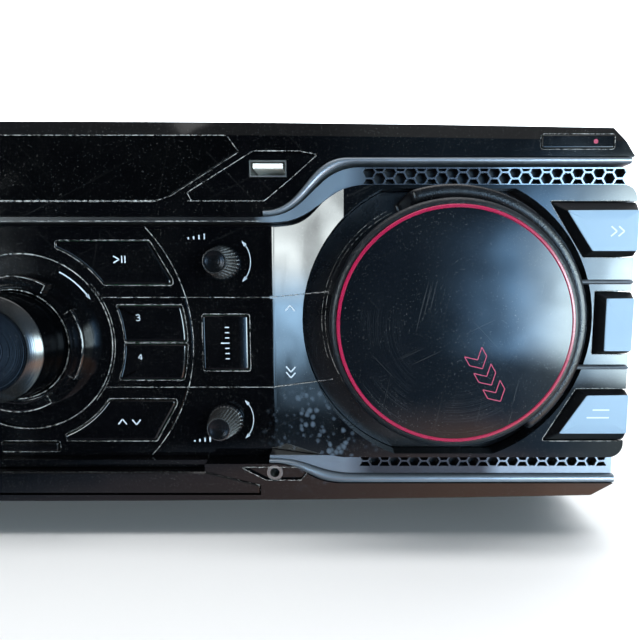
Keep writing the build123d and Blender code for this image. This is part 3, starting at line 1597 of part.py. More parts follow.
save(disc_tray, "disc_tray")

# Tray gear: turns on a post of the loader and drives the rack
tooth_inner = gear_radius - gear_dedendum - tooth_bite
tooth_outer = gear_radius + gear_addendum
with BuildPart() as tray_gear:
    with BuildSketch(Plane.XY.offset(tray_bottom)):
        with Locations((gear_x, gear_y)):
            Circle(gear_radius - gear_dedendum)
            with PolarLocations(0, gear_teeth, start_angle=180.0 / gear_teeth):
                Polygon(
                    (tooth_inner, -tooth_root / 2),
                    (tooth_outer, -tooth_tip / 2),
                    (tooth_outer, tooth_tip / 2),
                    (tooth_inner, tooth_root / 2),
                )
            Circle(post_radius + shaft_clearance, mode=Mode.SUBTRACT)
    extrude(amount=gear_height)
save(tray_gear, "tray_gear")

# Loader frame: floor, two guide walls with ledges and lips, clamp bridge, gear post and pivot posts
with BuildPart() as loader_frame:
    with Locations((0, loader_front_y, base_top)):
        loader_size = (2 * loader_half, loader_end_y - loader_front_y, loader_floor)
        Box(*loader_size, align=(Align.CENTER, Align.MIN, Align.MIN))
    with Locations((0, traverse_front_y - loader_well_front, base_top - 1)):
        well_depth = traverse_well_end - traverse_front_y + loader_well_front
        well_size = (2 * (traverse_half + loader_well_side), well_depth, cover_top)
        Box(*well_size, align=(Align.CENTER, Align.MIN, Align.MIN), mode=Mode.SUBTRACT)
    for side in (-1, 1):
        with Locations((side * wall_x, loader_front_y, base_top)):
            wall_size = (wall_thickness, loader_end_y - loader_front_y, bridge_bottom - base_top)
            Box(*wall_size, align=(Align.CENTER, Align.MIN, Align.MIN))
        ledge_in = tray_half_width - ledge_width
        ledge_z = tray_bottom - guide_gap - ledge_thickness
        with Locations((side * (wall_x + ledge_in) / 2, loader_front_y, ledge_z)):
            ledge_size = (wall_x - ledge_in, loader_end_y - loader_front_y, ledge_thickness)
            Box(*ledge_size, align=(Align.CENTER, Align.MIN, Align.MIN))
        lip_in = tray_half_width - lip_width
        with Locations((side * (wall_x + lip_in) / 2, loader_front_y, tray_top + guide_gap)):
            lip_size = (wall_x - lip_in, loader_end_y - loader_front_y, lip_thickness)
            Box(*lip_size, align=(Align.CENTER, Align.MIN, Align.MIN))
        post_x = traverse_half + pivot_post_gap + pivot_post_size[0] / 2
        with Locations((side * post_x, pivot_y, base_top)):
            post_height = pivot_z - base_top + pivot_post_rise
            Box(*pivot_post_size, post_height, align=(Align.CENTER, Align.CENTER, Align.MIN))
    with Locations((-wall_x, gear_y, (tray_bottom + tray_top) / 2)):
        gear_window = 2 * (gear_radius + gear_window_gap)
        Box(wall_thickness + 10, gear_window, tray_top - tray_bottom + 1, mode=Mode.SUBTRACT)
    with Locations((gear_x, gear_y, base_top)):
        post_place = (Align.CENTER, Align.CENTER, Align.MIN)
        Cylinder(post_radius + gear_post_foot, tray_bottom - base_top - guide_gap, align=post_place)
        Cylinder(post_radius, tray_top - base_top, align=post_place)
    with Locations((0, disc_y, bridge_bottom)):
        Box(2 * wall_x + wall_thickness, bridge_depth, bridge_thickness, align=post_place)
        Cylinder(clamp_neck + running_gap, 20, mode=Mode.SUBTRACT)
    with BuildSketch(Plane.YZ.offset(-loader_half)):
        with Locations((pivot_y, pivot_z)):
            Circle(pivot_radius + shaft_clearance)
    extrude(amount=2 * loader_half, mode=Mode.SUBTRACT)
save(loader_frame, "loader_frame")

# Traverse frame: tilting plate with its pivots, the guide rods and the spindle motor
sled_front_y = sled_start_y - sled_length / 2 - sled_front_gap
sled_rear_y = sled_start_y + sled_length / 2 + sled_travel + sled_rear_gap
rod_start = sled_front_y - rod_block_gap
rod_end = sled_rear_y + rod_block_gap
with BuildPart() as traverse_frame:
    with Locations((0, (traverse_front_y + pivot_y) / 2, traverse_top - traverse_plate)):
        traverse_size = (2 * traverse_half, pivot_y - traverse_front_y, traverse_plate)
        Box(*traverse_size, align=(Align.CENTER, Align.CENTER, Align.MIN))
    with Locations((0, sled_front_y, traverse_top)):
        opening = (2 * (sled_half + sled_side_gap), sled_rear_y - sled_front_y, 4 * traverse_plate)
        Box(*opening, align=(Align.CENTER, Align.MIN, Align.CENTER), mode=Mode.SUBTRACT)
    with BuildSketch(Plane.YZ.offset(-traverse_half - pivot_length)):
        with Locations((pivot_y, pivot_z)):
            Circle(pivot_radius)
    extrude(amount=2 * (traverse_half + pivot_length))
    for end_y in (rod_start, rod_end):
        with Locations((-rod_x, end_y, traverse_top), (rod_x, end_y, traverse_top)):
            block_height = rod_z + rod_block_rise - traverse_top
            Box(*rod_block, block_height, align=(Align.CENTER, Align.CENTER, Align.MIN))
    with BuildSketch(Plane.XZ.offset(-rod_start)):
        with Locations((-rod_x, rod_z), (rod_x, rod_z)):
            Circle(rod_radius)
    extrude(amount=rod_start - rod_end)
    with Locations((0, disc_y, motor_bottom)):
        Cylinder(spindle_motor_radius, motor_top - motor_bottom, align=(Align.CENTER, Align.CENTER, Align.MIN))
    with Locations((0, disc_y, motor_top)):
        bore_height = 2 * (motor_top - motor_bottom - spindle_socket)
        Cylinder(spindle_radius + shaft_clearance, bore_height, mode=Mode.SUBTRACT)
save(traverse_frame, "traverse_frame")

# Pickup sled: slides on the two rods and carries the lens
with BuildPart() as pickup_sled:
    with Locations((0, sled_start_y, sled_bottom)):
        Box(2 * sled_half, sled_length, sled_top - sled_bottom, align=(Align.CENTER, Align.CENTER, Align.MIN))
    with Locations((0, sled_start_y, sled_top)):
        Cylinder(lens_rim_radius, lens_rim_height, align=(Align.CENTER, Align.CENTER, Align.MIN))
        Cylinder(lens_radius, lens_height, align=(Align.CENTER, Align.CENTER, Align.MIN))
    with BuildSketch(Plane.XZ.offset(-sled_start_y - sled_length)):
        with Locations((-rod_x, rod_z), (rod_x, rod_z)):
            Circle(rod_radius + shaft_clearance)
    extrude(amount=2 * sled_length, mode=Mode.SUBTRACT)
save(pickup_sled, "pickup_sled")

# Turntable and the clamp above it
with BuildPart() as turntable:
    with BuildSketch(Plane.XZ):
        with BuildLine():
            spindle_end = motor_bottom + spindle_socket + spindle_end_gap
            Polyline(
                (0, spindle_end),
                (spindle_radius, spindle_end),
                (spindle_radius, platter_bottom),
                (turntable_radius, platter_bottom),
                (turntable_radius, platter_top),
                (hub_radius, platter_top),
                (hub_radius, platter_top + hub_height - hub_chamfer[1]),
                (hub_radius - hub_chamfer[0], platter_top + hub_height),
                (0, platter_top + hub_height),
                (0, spindle_end),
            )
        make_face()
    revolve(axis=Axis.Z)
turntable_piece = turntable.part
with BuildPart() as turntable:
    with Locations((0, disc_y, 0)):
        add(turntable_piece)
save(turntable, "turntable")

with BuildPart() as clamp_disc:
    with Locations((0, disc_y, bridge_bottom + bridge_thickness + guide_gap)):
        Cylinder(clamp_radius, clamp_thickness, align=(Align.CENTER, Align.CENTER, Align.MIN))
        neck = bridge_bottom + bridge_thickness + guide_gap - clamp_bottom
        Cylinder(clamp_neck, neck, align=(Align.CENTER, Align.CENTER, Align.MAX))
save(clamp_disc, "clamp_disc")
print("pieces written:", len(os.listdir("parts")))
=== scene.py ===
import json
import math

import bpy
import numpy as np
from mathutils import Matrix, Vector


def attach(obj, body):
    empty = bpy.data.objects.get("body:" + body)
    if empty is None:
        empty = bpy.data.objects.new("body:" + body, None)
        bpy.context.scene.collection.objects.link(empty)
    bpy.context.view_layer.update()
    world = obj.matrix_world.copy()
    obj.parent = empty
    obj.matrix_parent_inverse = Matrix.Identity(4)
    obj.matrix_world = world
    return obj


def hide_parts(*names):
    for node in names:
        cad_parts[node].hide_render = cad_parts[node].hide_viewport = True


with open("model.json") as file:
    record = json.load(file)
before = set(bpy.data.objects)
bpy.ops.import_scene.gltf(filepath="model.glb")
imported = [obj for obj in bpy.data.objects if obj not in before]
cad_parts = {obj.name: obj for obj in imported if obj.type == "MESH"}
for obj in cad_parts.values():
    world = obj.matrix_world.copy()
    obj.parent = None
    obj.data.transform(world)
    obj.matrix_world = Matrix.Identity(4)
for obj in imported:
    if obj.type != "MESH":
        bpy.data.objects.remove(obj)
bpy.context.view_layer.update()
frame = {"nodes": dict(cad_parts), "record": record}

bl_info = {
    "name": "Compact stereo looks",
    "version": (1, 0, 0),
    "blender": (4, 5, 0),
    "location": "View3D > Sidebar > Stereo",
    "description": "Builds the rounded keys, wheels, knobs, trim and finishes of a compact stereo",
    "category": "Object",
}

# Sizes shared by several pieces, in millimetres of the part's frame. A reach is measured forwards from the deck.
SIDES = ((1, "right"), (-1, "left"))
DECK_Y = -150.0
CASE_SIDE = 224.9
FASCIA_REACH, BEZEL_REACH = 8.3, 10.0
SUNK_REACH = -2.4

# Volume knob and its ring, and the arcs that bound the keys round them
DIAL_Z = 73.0
DIAL = (0.0, DIAL_Z)
KNOB_RADIUS, KNOB_REACH = 19.9, 21.0
RING_REACH, NOTCH_REACH = 6.2, 3.4
INNER_ARC, OUTER_ARC, SEAM_ARC = 38.7, 62.0, 64.6

# Wheels with their red rings, and the wells round them
WHEEL_X, WHEEL_Z = 159.0, 82.0
WHEEL_RADIUS, WHEEL_REACH, WHEEL_DEPTH = 41.8, 26.0, 22.0
RING_OUTER, RING_INNER = 39.4, 38.1
WELL_RADIUS, WELL_REACH, WELL_HEIGHTS = 52.1, 3.0, (33.2, 128.6)
CRESCENT_FOOT, CRESCENT_RISE = 46.2, 14.5
RIB_HEIGHTS, RIB_START, RIB_END = (96.2, 65.5), 45.5, 224.0

# Keys: a flat key's middle, width and height
KEY_REACH, SIDE_KEY_REACH = 1.2, 13.4
KEY_GAP = 0.35
FUNCTION_X, FUNCTION_SIZE = 77.2, (17.2, 21.0)
RECORD_KEY, OPEN_KEY = (204.0, 145.1, 25.0, 4.2), (0.0, 32.2, 22.0, 3.4)

# Small knobs, by their distances from the dial, and their flutes
TUNER_X, TUNER_RISE = 76.4, 30.4
FLUTES, FLUTE_DEPTH = 30, 0.45

# Wedges between the deck and the wheels, and the seams across them with their climb above and below the dial
CREASE_X, WEDGE_WIDTH, WEDGE_RISE = 94.0, 28.0, 10.0
SEAM_RISE, SEAM_RUN = 17.3, 24.0
SEAM_CLIMBS = {1: 3.0, -1: 5.8}
STRIP_END = 223.2

# Printed marks and dust: their width, how far they lie over a surface, and where dust ends beside the case
MARK_WIDTH, SIDE_MARK_WIDTH = 0.45, 0.5
MARK_LIFT, WEDGE_LIFT = 0.03, 0.04
DUST_END = 223.0

# Middle of the dried spots, and the middle and half size of the tongues in the wide sockets
SMEAR_PLACE = (113.0, 40.0)
USB_PLACE, USB_TONGUE = (95.1, 137.1), (5.4, 0.9)

# Finish: colours of dust and of dried spots, the shares of specks and of the film in a finish, and the inner and
# outer radius in metres of the brighter edge of the knobs, with its grey
DUST_COLOR = (0.62, 0.60, 0.57)
SMEAR_COLOR = (0.42, 0.55, 0.72)
SPECK_SHARE, FILM_SHARE = 0.35, 0.004
DIAL_EDGE = (0.0147, 0.0190, 0.09)
TUNER_EDGE = (0.0038, 0.0062, 0.2)


# Geometry


def front(x, z, reach):
    """Points of the front in metres: x to the right, z up, reach towards the viewer."""
    x, z, reach = np.broadcast_arrays(x, z, reach)
    return np.stack([x, DECK_Y - reach, z], axis=-1) / 1000.0


def depth(reach):
    """Y in metres of a reach."""
    return (DECK_Y - reach) / 1000


def surface(name, grid, closed=False, sharp=40.0):
    """Mesh of a grid of points: quads between neighbours, the first direction joined up if closed."""
    across, along = grid.shape[:2]
    rows = np.arange(across if closed else across - 1)
    after = (rows + 1) % across
    steps = np.arange(along - 1)
    corners = [
        rows[:, None] * along + steps,
        after[:, None] * along + steps,
        after[:, None] * along + steps + 1,
        rows[:, None] * along + steps + 1,
    ]
    return mesh_object(name, grid.reshape(-1, 3), np.stack(corners, axis=-1).reshape(-1, 4), sharp)


def mesh_object(name, points, quads, sharp=40.0):
    """Object at the origin from whole arrays of points and quads, smooth but for its sharp edges."""
    mesh = bpy.data.meshes.new(name)
    mesh.vertices.add(len(points))
    mesh.vertices.foreach_set("co", np.ascontiguousarray(points, np.float32).ravel())
    mesh.loops.add(quads.size)
    mesh.loops.foreach_set("vertex_index", np.ascontiguousarray(quads, np.int32).ravel())
    mesh.polygons.add(len(quads))
    mesh.polygons.foreach_set("loop_start", np.arange(0, quads.size, 4, dtype=np.int32))
    mesh.update(calc_edges=True)
    mesh.validate()
    mesh.shade_smooth()
    mesh.set_sharp_from_angle(angle=math.radians(sharp))
    made = bpy.data.objects.new(name, mesh)
    bpy.context.scene.collection.objects.link(made)
    return made


def merged(name, grids, sharp=40.0):
    """One object from several open grids."""
    points, quads, offset = [], [], 0
    for grid in grids:
        across, along = grid.shape[:2]
        rows, steps = np.arange(across - 1)[:, None], np.arange(along - 1)
        base = rows * along + steps
        quads.append(np.stack([base, base + along, base + along + 1, base + 1], axis=-1).reshape(-1, 4) + offset)
        points.append(grid.reshape(-1, 3))
        offset += across * along
    return mesh_object(name, np.concatenate(points), np.concatenate(quads), sharp)


def outline(corners, rounding=0.8, spacing=0.35):
    """Closed line through the corners, evenly spaced, its corners rounded by a moving average."""
    corners = np.asarray(corners, float)
    ahead = np.roll(corners, -1, axis=0)
    lengths = np.hypot(*(ahead - corners).T)
    reached = np.concatenate([[0.0], np.cumsum(lengths)])
    count = int(reached[-1] / spacing)
    wanted = np.linspace(0, reached[-1], count, endpoint=False)
    closed = np.vstack([corners, corners[:1]])
    line = np.stack([np.interp(wanted, reached, closed[:, k]) for k in (0, 1)], axis=-1)
    width = max(1, int(rounding / spacing))
    shifts = [np.roll(line, step, axis=0) for step in range(-width, width + 1)]
    return np.mean(shifts, axis=0)


def inward(line):
    """Unit normals that point into an anticlockwise closed line."""
    tangent = np.roll(line, -1, axis=0) - np.roll(line, 1, axis=0)
    tangent /= np.hypot(*tangent.T)[:, None] + 1e-9
    return np.stack([-tangent[:, 1], tangent[:, 0]], axis=-1)


def cap_grid(line, stations, middle):
    """Profile carried round a closed line, then drawn in to a middle point."""
    normals = inward(line)
    rings = [np.column_stack([line + normals * inset, np.full(len(line), reach)]) for inset, reach in stations]
    last = rings[-1]
    target = np.array([middle[0], middle[1], last[0, 2]])
    rings += [target + (last - target) * share for share in (0.6, 0.25, 0.0)]
    rings = np.stack(rings, axis=1)
    return front(rings[..., 0], rings[..., 1], rings[..., 2])


def turned_grid(x, z, profile, steps=192, shape=None):
    """Profile of radius and reach turned about a forward axis; shape changes radius and reach by angle."""
    angle = np.linspace(0, 2 * np.pi, steps, endpoint=False)[:, None]
    radius, reach = (np.asarray(profile, float)[:, k][None, :] for k in (0, 1))
    if shape is not None:
        radius, reach = shape(angle, radius, reach)
    return front(x + radius * np.cos(angle), z + radius * np.sin(angle), reach + 0 * angle)


def facing(grid, side):
    """Grid of a piece that is mirrored to the left, with its order turned so that it still faces out."""
    return grid if side > 0 else grid[::-1]


def smooth_step(value, low, high):
    """0 below low, 1 above high, and a smooth rise between."""
    share = np.clip((value - low) / (high - low), 0, 1)
    return share * share * (3 - 2 * share)


def bezier_sweep(line, share):
    """Point on an S-shaped edge that is level at both ends."""
    x0, z0, x1, z1 = line
    middle = (x0 + x1) / 2
    a, b, c, d = (1 - share) ** 3, 3 * share * (1 - share) ** 2, 3 * share**2 * (1 - share), share**3
    return a * x0 + b * middle + c * middle + d * x1, a * z0 + b * z0 + c * z1 + d * z1


def arc_points(radius, start, end, count=40, centre=DIAL):
    """Points on an arc about a centre, angles in degrees."""
    angle = np.radians(np.linspace(start, end, count))
    return np.column_stack([centre[0] + radius * np.cos(angle), centre[1] + radius * np.sin(angle)])


# Shader groups


def add_node(tree, kind, links=None, **values):
    """Node with its properties and input values set and its inputs linked."""
    node = tree.nodes.new(kind)
    for key, value in values.items():
        setattr(node, key, value)
    for key, value in (links or {}).items():
        socket = node.inputs[key]
        if isinstance(value, bpy.types.NodeSocket):
            tree.links.new(value, socket)
        else:
            socket.default_value = value
    return node


def math_node(tree, operation, *values):
    """Result of a Math node."""
    return add_node(tree, "ShaderNodeMath", dict(enumerate(values)), operation=operation).outputs[0]


def ramp(tree, value, low, high, first=0.0, last=1.0):
    """Value mapped from low..high to first..last, clamped."""
    links = {"Value": value, "From Min": low, "From Max": high, "To Min": first, "To Max": last}
    return add_node(tree, "ShaderNodeMapRange", links).outputs["Result"]


def blend(tree, factor, first, second):
    """Mix of two colours, each a socket or red, green and blue."""
    first, second = (grey if isinstance(grey, bpy.types.NodeSocket) else (*grey, 1.0) for grey in (first, second))
    return add_node(tree, "ShaderNodeMix", {"Factor": factor, "A": first, "B": second}, data_type="RGBA").outputs[2]


def times(tree, *values):
    """Product of several values."""
    product = values[0]
    for value in values[1:]:
        product = math_node(tree, "MULTIPLY", product, value)
    return product


def highest(tree, *values):
    """Largest of several values."""
    most = values[0]
    for value in values[1:]:
        most = math_node(tree, "MAXIMUM", most, value)
    return most


def noise(tree, place, scale, detail, roughness=0.5):
    """Value of a noise between 0 and 1."""
    links = {"Vector": place, "Scale": scale, "Detail": detail, "Roughness": roughness}
    return add_node(tree, "ShaderNodeTexNoise", links).outputs["Fac"]


def axes(tree, vector):
    """The X, Y and Z sockets of a vector."""
    return add_node(tree, "ShaderNodeSeparateXYZ", {"Vector": vector}).outputs


def placed_group(tree, name, **inputs):
    """Outputs of a shader group, placed in a tree with its inputs set or linked."""
    return add_node(tree, "ShaderNodeGroup", inputs, node_tree=bpy.data.node_groups[name]).outputs


def new_group(name, inputs, outputs):
    """Shader node group with named sockets, and its input and output nodes."""
    tree = bpy.data.node_groups.new(name, "ShaderNodeTree")
    for label, kind, value in inputs:
        socket = tree.interface.new_socket(name=label, in_out="INPUT", socket_type=kind)
        if value is not None:
            socket.default_value = value
    for label, kind in outputs:
        tree.interface.new_socket(name=label, in_out="OUTPUT", socket_type=kind)
    return tree, tree.nodes.new("NodeGroupInput").outputs, tree.nodes.new("NodeGroupOutput").inputs


def dust_group():
    """Dust: small bright specks, denser in soft patches."""
    tree, given, result = new_group(
        "Dust",
        [
            ("Vector", "NodeSocketVector", None),
            ("Scale", "NodeSocketFloat", 900.0),
            ("Cover", "NodeSocketFloat", 0.3),
        ],
        [("Mask", "NodeSocketFloat"), ("Haze", "NodeSocketFloat")],
    )
    specks = []
    for factor, size in ((2.1, 0.17), (1.1, 0.12), (0.4, 0.055)):
        scale = math_node(tree, "MULTIPLY", given["Scale"], factor)
        cells = add_node(tree, "ShaderNodeTexVoronoi", {"Vector": given["Vector"], "Scale": scale})
        spot = ramp(tree, cells.outputs["Distance"], size, size * 0.5)
        chosen = add_node(tree, "ShaderNodeSeparateColor", {"Color": cells.outputs["Color"]}).outputs
        kept = math_node(tree, "LESS_THAN", chosen[0], given["Cover"])
        pale = ramp(tree, chosen[1], 0.0, 1.0, 0.15, 1.0)
        specks.append(times(tree, spot, kept, pale))
    patches = noise(tree, given["Vector"], 45.0, 4.0, 0.6)
    tree.links.new(times(tree, highest(tree, *specks), ramp(tree, patches, 0.35, 0.6, 0.35, 1.0)), result["Mask"])
    tree.links.new(ramp(tree, patches, 0.42, 0.72), result["Haze"])


def scratch_group():
    """Hairline scratches: the crests of a noise that is stretched into streaks, in soft patches."""
    tree, given, result = new_group(
        "Scratches", [("Vector", "NodeSocketVector", None)], [("Mask", "NodeSocketFloat")]
    )
    lines = []
    for turn, height in ((0.45, 0.70), (-0.8, 0.71), (1.35, 0.70)):
        links = {"Vector": given["Vector"], "Axis": (0.0, 1.0, 0.0), "Angle": turn}
        turned = add_node(tree, "ShaderNodeVectorRotate", links).outputs["Vector"]
        links = {"Vector": turned, "Scale": (28.0, 28.0, 1400.0)}
        placed = add_node(tree, "ShaderNodeMapping", links).outputs["Vector"]
        line = ramp(tree, noise(tree, placed, 1.0, 1.0), height, height + 0.04)
        lines.append(times(tree, line, ramp(tree, noise(tree, placed, 0.04, 2.0), 0.45, 0.6)))
    tree.links.new(highest(tree, *lines), result["Mask"])


def grain_group():
    """Fine moulded grain: rounded bumps of two sizes."""
    tree, given, result = new_group(
        "Grain",
        [("Vector", "NodeSocketVector", None), ("Scale", "NodeSocketFloat", 1800.0)],
        [("Height", "NodeSocketFloat")],
    )
    cells = add_node(tree, "ShaderNodeTexVoronoi", {"Vector": given["Vector"], "Scale": given["Scale"]})
    coarse = noise(tree, given["Vector"], 700.0, 2.0)
    tree.links.new(math_node(tree, "ADD", cells.outputs["Distance"], coarse), result["Height"])


def turned_group():
    """Turning marks: fine rings about a forward axis."""
    tree, given, result = new_group(
        "Turned Rings",
        [
            ("Vector", "NodeSocketVector", None),
            ("Centre", "NodeSocketVector", None),
            ("Pitch", "NodeSocketFloat", 2500.0),
        ],
        [("Height", "NodeSocketFloat"), ("Radius", "NodeSocketFloat")],
    )
    kind = "ShaderNodeVectorMath"
    away = add_node(tree, kind, {0: given["Vector"], 1: given["Centre"]}, operation="SUBTRACT").outputs[0]
    flat = add_node(tree, kind, {0: away, 1: (1.0, 0.0, 1.0)}, operation="MULTIPLY").outputs[0]
    radius = add_node(tree, kind, {0: flat}, operation="LENGTH").outputs["Value"]
    links = {"W": times(tree, radius, given["Pitch"]), "Scale": 1.0, "Detail": 1.0}
    rings = add_node(tree, "ShaderNodeTexNoise", links, noise_dimensions="1D").outputs["Fac"]
    tree.links.new(rings, result["Height"])
    tree.links.new(radius, result["Radius"])


def wear_group():
    """Wear in one: dust and scratches mixed into a colour, with the roughness they leave."""
    tree, given, result = new_group(
        "Wear",
        [
            ("Vector", "NodeSocketVector", None),
            ("Color", "NodeSocketColor", (0.01, 0.01, 0.01, 1.0)),
            ("Roughness", "NodeSocketFloat", 0.1),
            ("Dust", "NodeSocketFloat", 0.3),
            ("Scratches", "NodeSocketFloat", 0.2),
        ],
        [("Color", "NodeSocketColor"), ("Roughness", "NodeSocketFloat"), ("Height", "NodeSocketFloat")],
    )
    dust = placed_group(tree, "Dust", Vector=given["Vector"], Cover=given["Dust"])
    marks = times(tree, placed_group(tree, "Scratches", Vector=given["Vector"])["Mask"], given["Scratches"])
    specks = times(tree, dust["Mask"], SPECK_SHARE)
    film = times(tree, dust["Haze"], given["Dust"], FILM_SHARE)
    share = highest(tree, specks, film, marks)
    rough = math_node(tree, "ADD", given["Roughness"], times(tree, dust["Haze"], 0.08))
    tree.links.new(blend(tree, share, given["Color"], DUST_COLOR), result["Color"])
    tree.links.new(math_node(tree, "ADD", rough, times(tree, share, 0.5)), result["Roughness"])
    tree.links.new(math_node(tree, "SUBTRACT", dust["Mask"], marks), result["Height"])


# Materials


def new_material(name):
    """Material with its tree, its Principled node and the object coordinates."""
    material = bpy.data.materials.new(name)
    material.use_nodes = True
    tree = material.node_tree
    shader = tree.nodes["Principled BSDF"]
    place = add_node(tree, "ShaderNodeTexCoord").outputs["Object"]
    return material, tree, shader, place


def bump(tree, shader, height, strength, distance):
    """Bump from a height, linked to the shader's Normal."""
    node = add_node(tree, "ShaderNodeBump", {"Height": height, "Strength": strength, "Distance": distance})
    tree.links.new(node.outputs["Normal"], shader.inputs["Normal"])


def worn(tree, shader, place, color, roughness, dust, scratches, height=0.15):
    """Wear group linked to the shader's colour, roughness and normal."""
    color = color if isinstance(color, bpy.types.NodeSocket) else (*color, 1.0)
    wear = placed_group(tree, "Wear", Vector=place, Color=color, Roughness=roughness, Dust=dust, Scratches=scratches)
    tree.links.new(wear["Color"], shader.inputs["Base Color"])
    tree.links.new(wear["Roughness"], shader.inputs["Roughness"])
    if height:
        bump(tree, shader, wear["Height"], height, 0.00005)
    return wear["Height"]


def smears(tree, place):
    """Mask of round dried spots at the foot of both wedges, thinning out with the distance from their middle."""
    parts = axes(tree, place)
    across = math_node(tree, "SUBTRACT", math_node(tree, "ABSOLUTE", parts["X"]), SMEAR_PLACE[0] / 1000)
    along = math_node(tree, "SUBTRACT", parts["Z"], SMEAR_PLACE[1] / 1000)
    squares = [times(tree, value, value) for value in (across, along)]
    away = math_node(tree, "SQRT", math_node(tree, "ADD", *squares))
    spots = add_node(tree, "ShaderNodeTexVoronoi", {"Vector": place, "Scale": 420.0}).outputs["Distance"]
    cloud = noise(tree, place, 160.0, 3.0)
    torn = math_node(tree, "ADD", spots, times(tree, math_node(tree, "SUBTRACT", 0.5, cloud), 1.2))
    shown = times(tree, ramp(tree, torn, 0.46, 0.10), ramp(tree, cloud, 0.36, 0.60))
    return times(tree, shown, ramp(tree, away, 0.024, 0.008))


def gloss_material(name, color, roughness, dust, scratches, smear=0.0):
    """Glossy moulded plastic, very slightly wavy, with dust and hairline scratches."""
    material, tree, shader, place = new_material(name)
    if smear:
        color = blend(tree, times(tree, smears(tree, place), smear), color, SMEAR_COLOR)
    marks = worn(tree, shader, place, color, roughness, dust, scratches, height=0)
    waves = noise(tree, place, 55.0, 1.0)
    bump(tree, shader, math_node(tree, "ADD", times(tree, marks, 0.04), waves), 1.0, 0.00008)
    shader.inputs["Coat Weight"].default_value = 0.3
    shader.inputs["Coat Roughness"].default_value = 0.03
    return material


def wheel_material(name, centre):
    """Wheel: glossy crowned face with fine ring scratches, and a grained rim beyond the red ring."""
    material, tree, shader, place = new_material(name)
    rings = placed_group(tree, "Turned Rings", Vector=place, Centre=centre, Pitch=9000.0)
    patches = noise(tree, place, 38.0, 2.0)
    arcs = times(tree, ramp(tree, rings["Height"], 0.64, 0.70), ramp(tree, patches, 0.5, 0.6))
    arcs = times(tree, arcs, ramp(tree, rings["Radius"], 0.016, 0.022), 0.04)
    rim = ramp(tree, rings["Radius"], RING_OUTER / 1000 - 0.0001, RING_OUTER / 1000 + 0.0001)
    color = blend(tree, arcs, (0.003, 0.004, 0.006), (0.5, 0.52, 0.55))
    rough = math_node(tree, "ADD", 0.08, times(tree, rim, 0.3))
    marks = worn(tree, shader, place, color, rough, 0.42, 0.03, height=0)
    grain = placed_group(tree, "Grain", Vector=place, Scale=1100.0)["Height"]
    bump(tree, shader, math_node(tree, "ADD", times(tree, grain, rim), times(tree, marks, 0.1)), 0.6, 0.00012)
    return material


def seam_dust_and_highlight_material(name):
    """Pale, matt lines broken up along their length: dust caught in the seams, and painted highlights on the rounded
    edges beside them.
    """
    material, tree, shader, place = new_material(name)
    fine = noise(tree, place, 650.0, 4.0, 0.7)
    cover = times(tree, ramp(tree, fine, 0.38, 0.56), ramp(tree, noise(tree, place, 70.0, 2.0), 0.34, 0.6, 0.3, 1.0))
    tree.links.new(cover, shader.inputs["Alpha"])
    tree.links.new(blend(tree, fine, (0.05, 0.048, 0.045), (0.62, 0.60, 0.58)), shader.inputs["Base Color"])
    shader.inputs["Roughness"].default_value = 0.9
    return material


def satin_material(name, color, metallic=0.85, roughness=0.32, dust=0.35):
    """Satin metallic paint with a fine grain."""
    material, tree, shader, place = new_material(name)
    marks = worn(tree, shader, place, color, roughness, dust, 0.015, height=0)
    grain = placed_group(tree, "Grain", Vector=place)["Height"]
    bump(tree, shader, math_node(tree, "ADD", grain, marks), 0.12, 0.00006)
    shader.inputs["Metallic"].default_value = metallic
    return material


def grain_material(name, color, roughness, dust, strength, metallic=0.0):
    """Matt surface with a moulded grain."""
    material, tree, shader, place = new_material(name)
    worn(tree, shader, place, color, roughness, dust, 0.015, height=0)
    bump(tree, shader, placed_group(tree, "Grain", Vector=place)["Height"], strength, 0.00012)
    shader.inputs["Metallic"].default_value = metallic
    return material


def side_key_sky_reflection_material(name, color):
    """Side keys: black on the flanks, and on the flat faces a pale sky-blue that is a painted reflection of the sky.
    """
    material, tree, shader, place = new_material(name)
    # The flat faces get the painted reflection of the sky, and the flanks keep the keys' own black
    flank = ramp(tree, axes(tree, place)["Y"], depth(13.25), depth(13.1))
    color = blend(tree, flank, color, (0.002, 0.002, 0.003))
    worn(tree, shader, place, color, 0.4, 0.25, 0.03, height=0.1)
    shader.inputs["Specular IOR Level"].default_value = 0.3
    return material


def grille_material(name):
    """Front faces pale silver-blue near the middle and at the outer ends and dark grey between, with dark hollows
    between them, and a dark ledge in the middle of the front. The pale of the outer ends is a painted reflection of
    the sky to the right, mirrored to the left.
    """
    material, tree, shader, place = new_material(name)
    parts = axes(tree, place)
    aside = math_node(tree, "ABSOLUTE", parts["X"])
    hollow = highest(tree, ramp(tree, parts["Y"], depth(7.3), depth(6.8)), ramp(tree, aside, 0.098, 0.090))
    # Beyond 181 mm to either side the faces are pale: a painted reflection of the sky to the right
    outer = highest(tree, ramp(tree, aside, 0.174, 0.181), ramp(tree, aside, 0.132, 0.122))
    walls_with_painted_sky = blend(tree, outer, (0.07, 0.08, 0.10), (0.30, 0.37, 0.45))
    worn(tree, shader, place, blend(tree, hollow, walls_with_painted_sky, (0.003, 0.003, 0.004)), 0.34, 0.6, 0.01, height=0.3)
    tree.links.new(math_node(tree, "SUBTRACT", 0.85, times(tree, hollow, 0.8)), shader.inputs["Metallic"])
    return material


def axis(x, z):
    """Point in metres on a forward axis, for a pattern that is centred on it."""
    return x / 1000, 0.0, z / 1000


def turned_material(name, color, centre, roughness, strength, edge):
    """Turned metal face with fine rings. Between the edge's two radii the metal is brighter, by its grey."""
    material, tree, shader, place = new_material(name)
    rings = placed_group(tree, "Turned Rings", Vector=place, Centre=centre)
    radius, (inner, outer, grey) = rings["Radius"], edge
    bright = times(tree, ramp(tree, radius, inner, inner + 0.0003), ramp(tree, radius, outer, outer - 0.0002))
    worn(tree, shader, place, blend(tree, bright, color, (grey, grey, grey)), roughness, 0.15, 0.01, height=0)
    bump(tree, shader, rings["Height"], strength, 0.00008)
    shader.inputs["Metallic"].default_value = 0.9
    return material


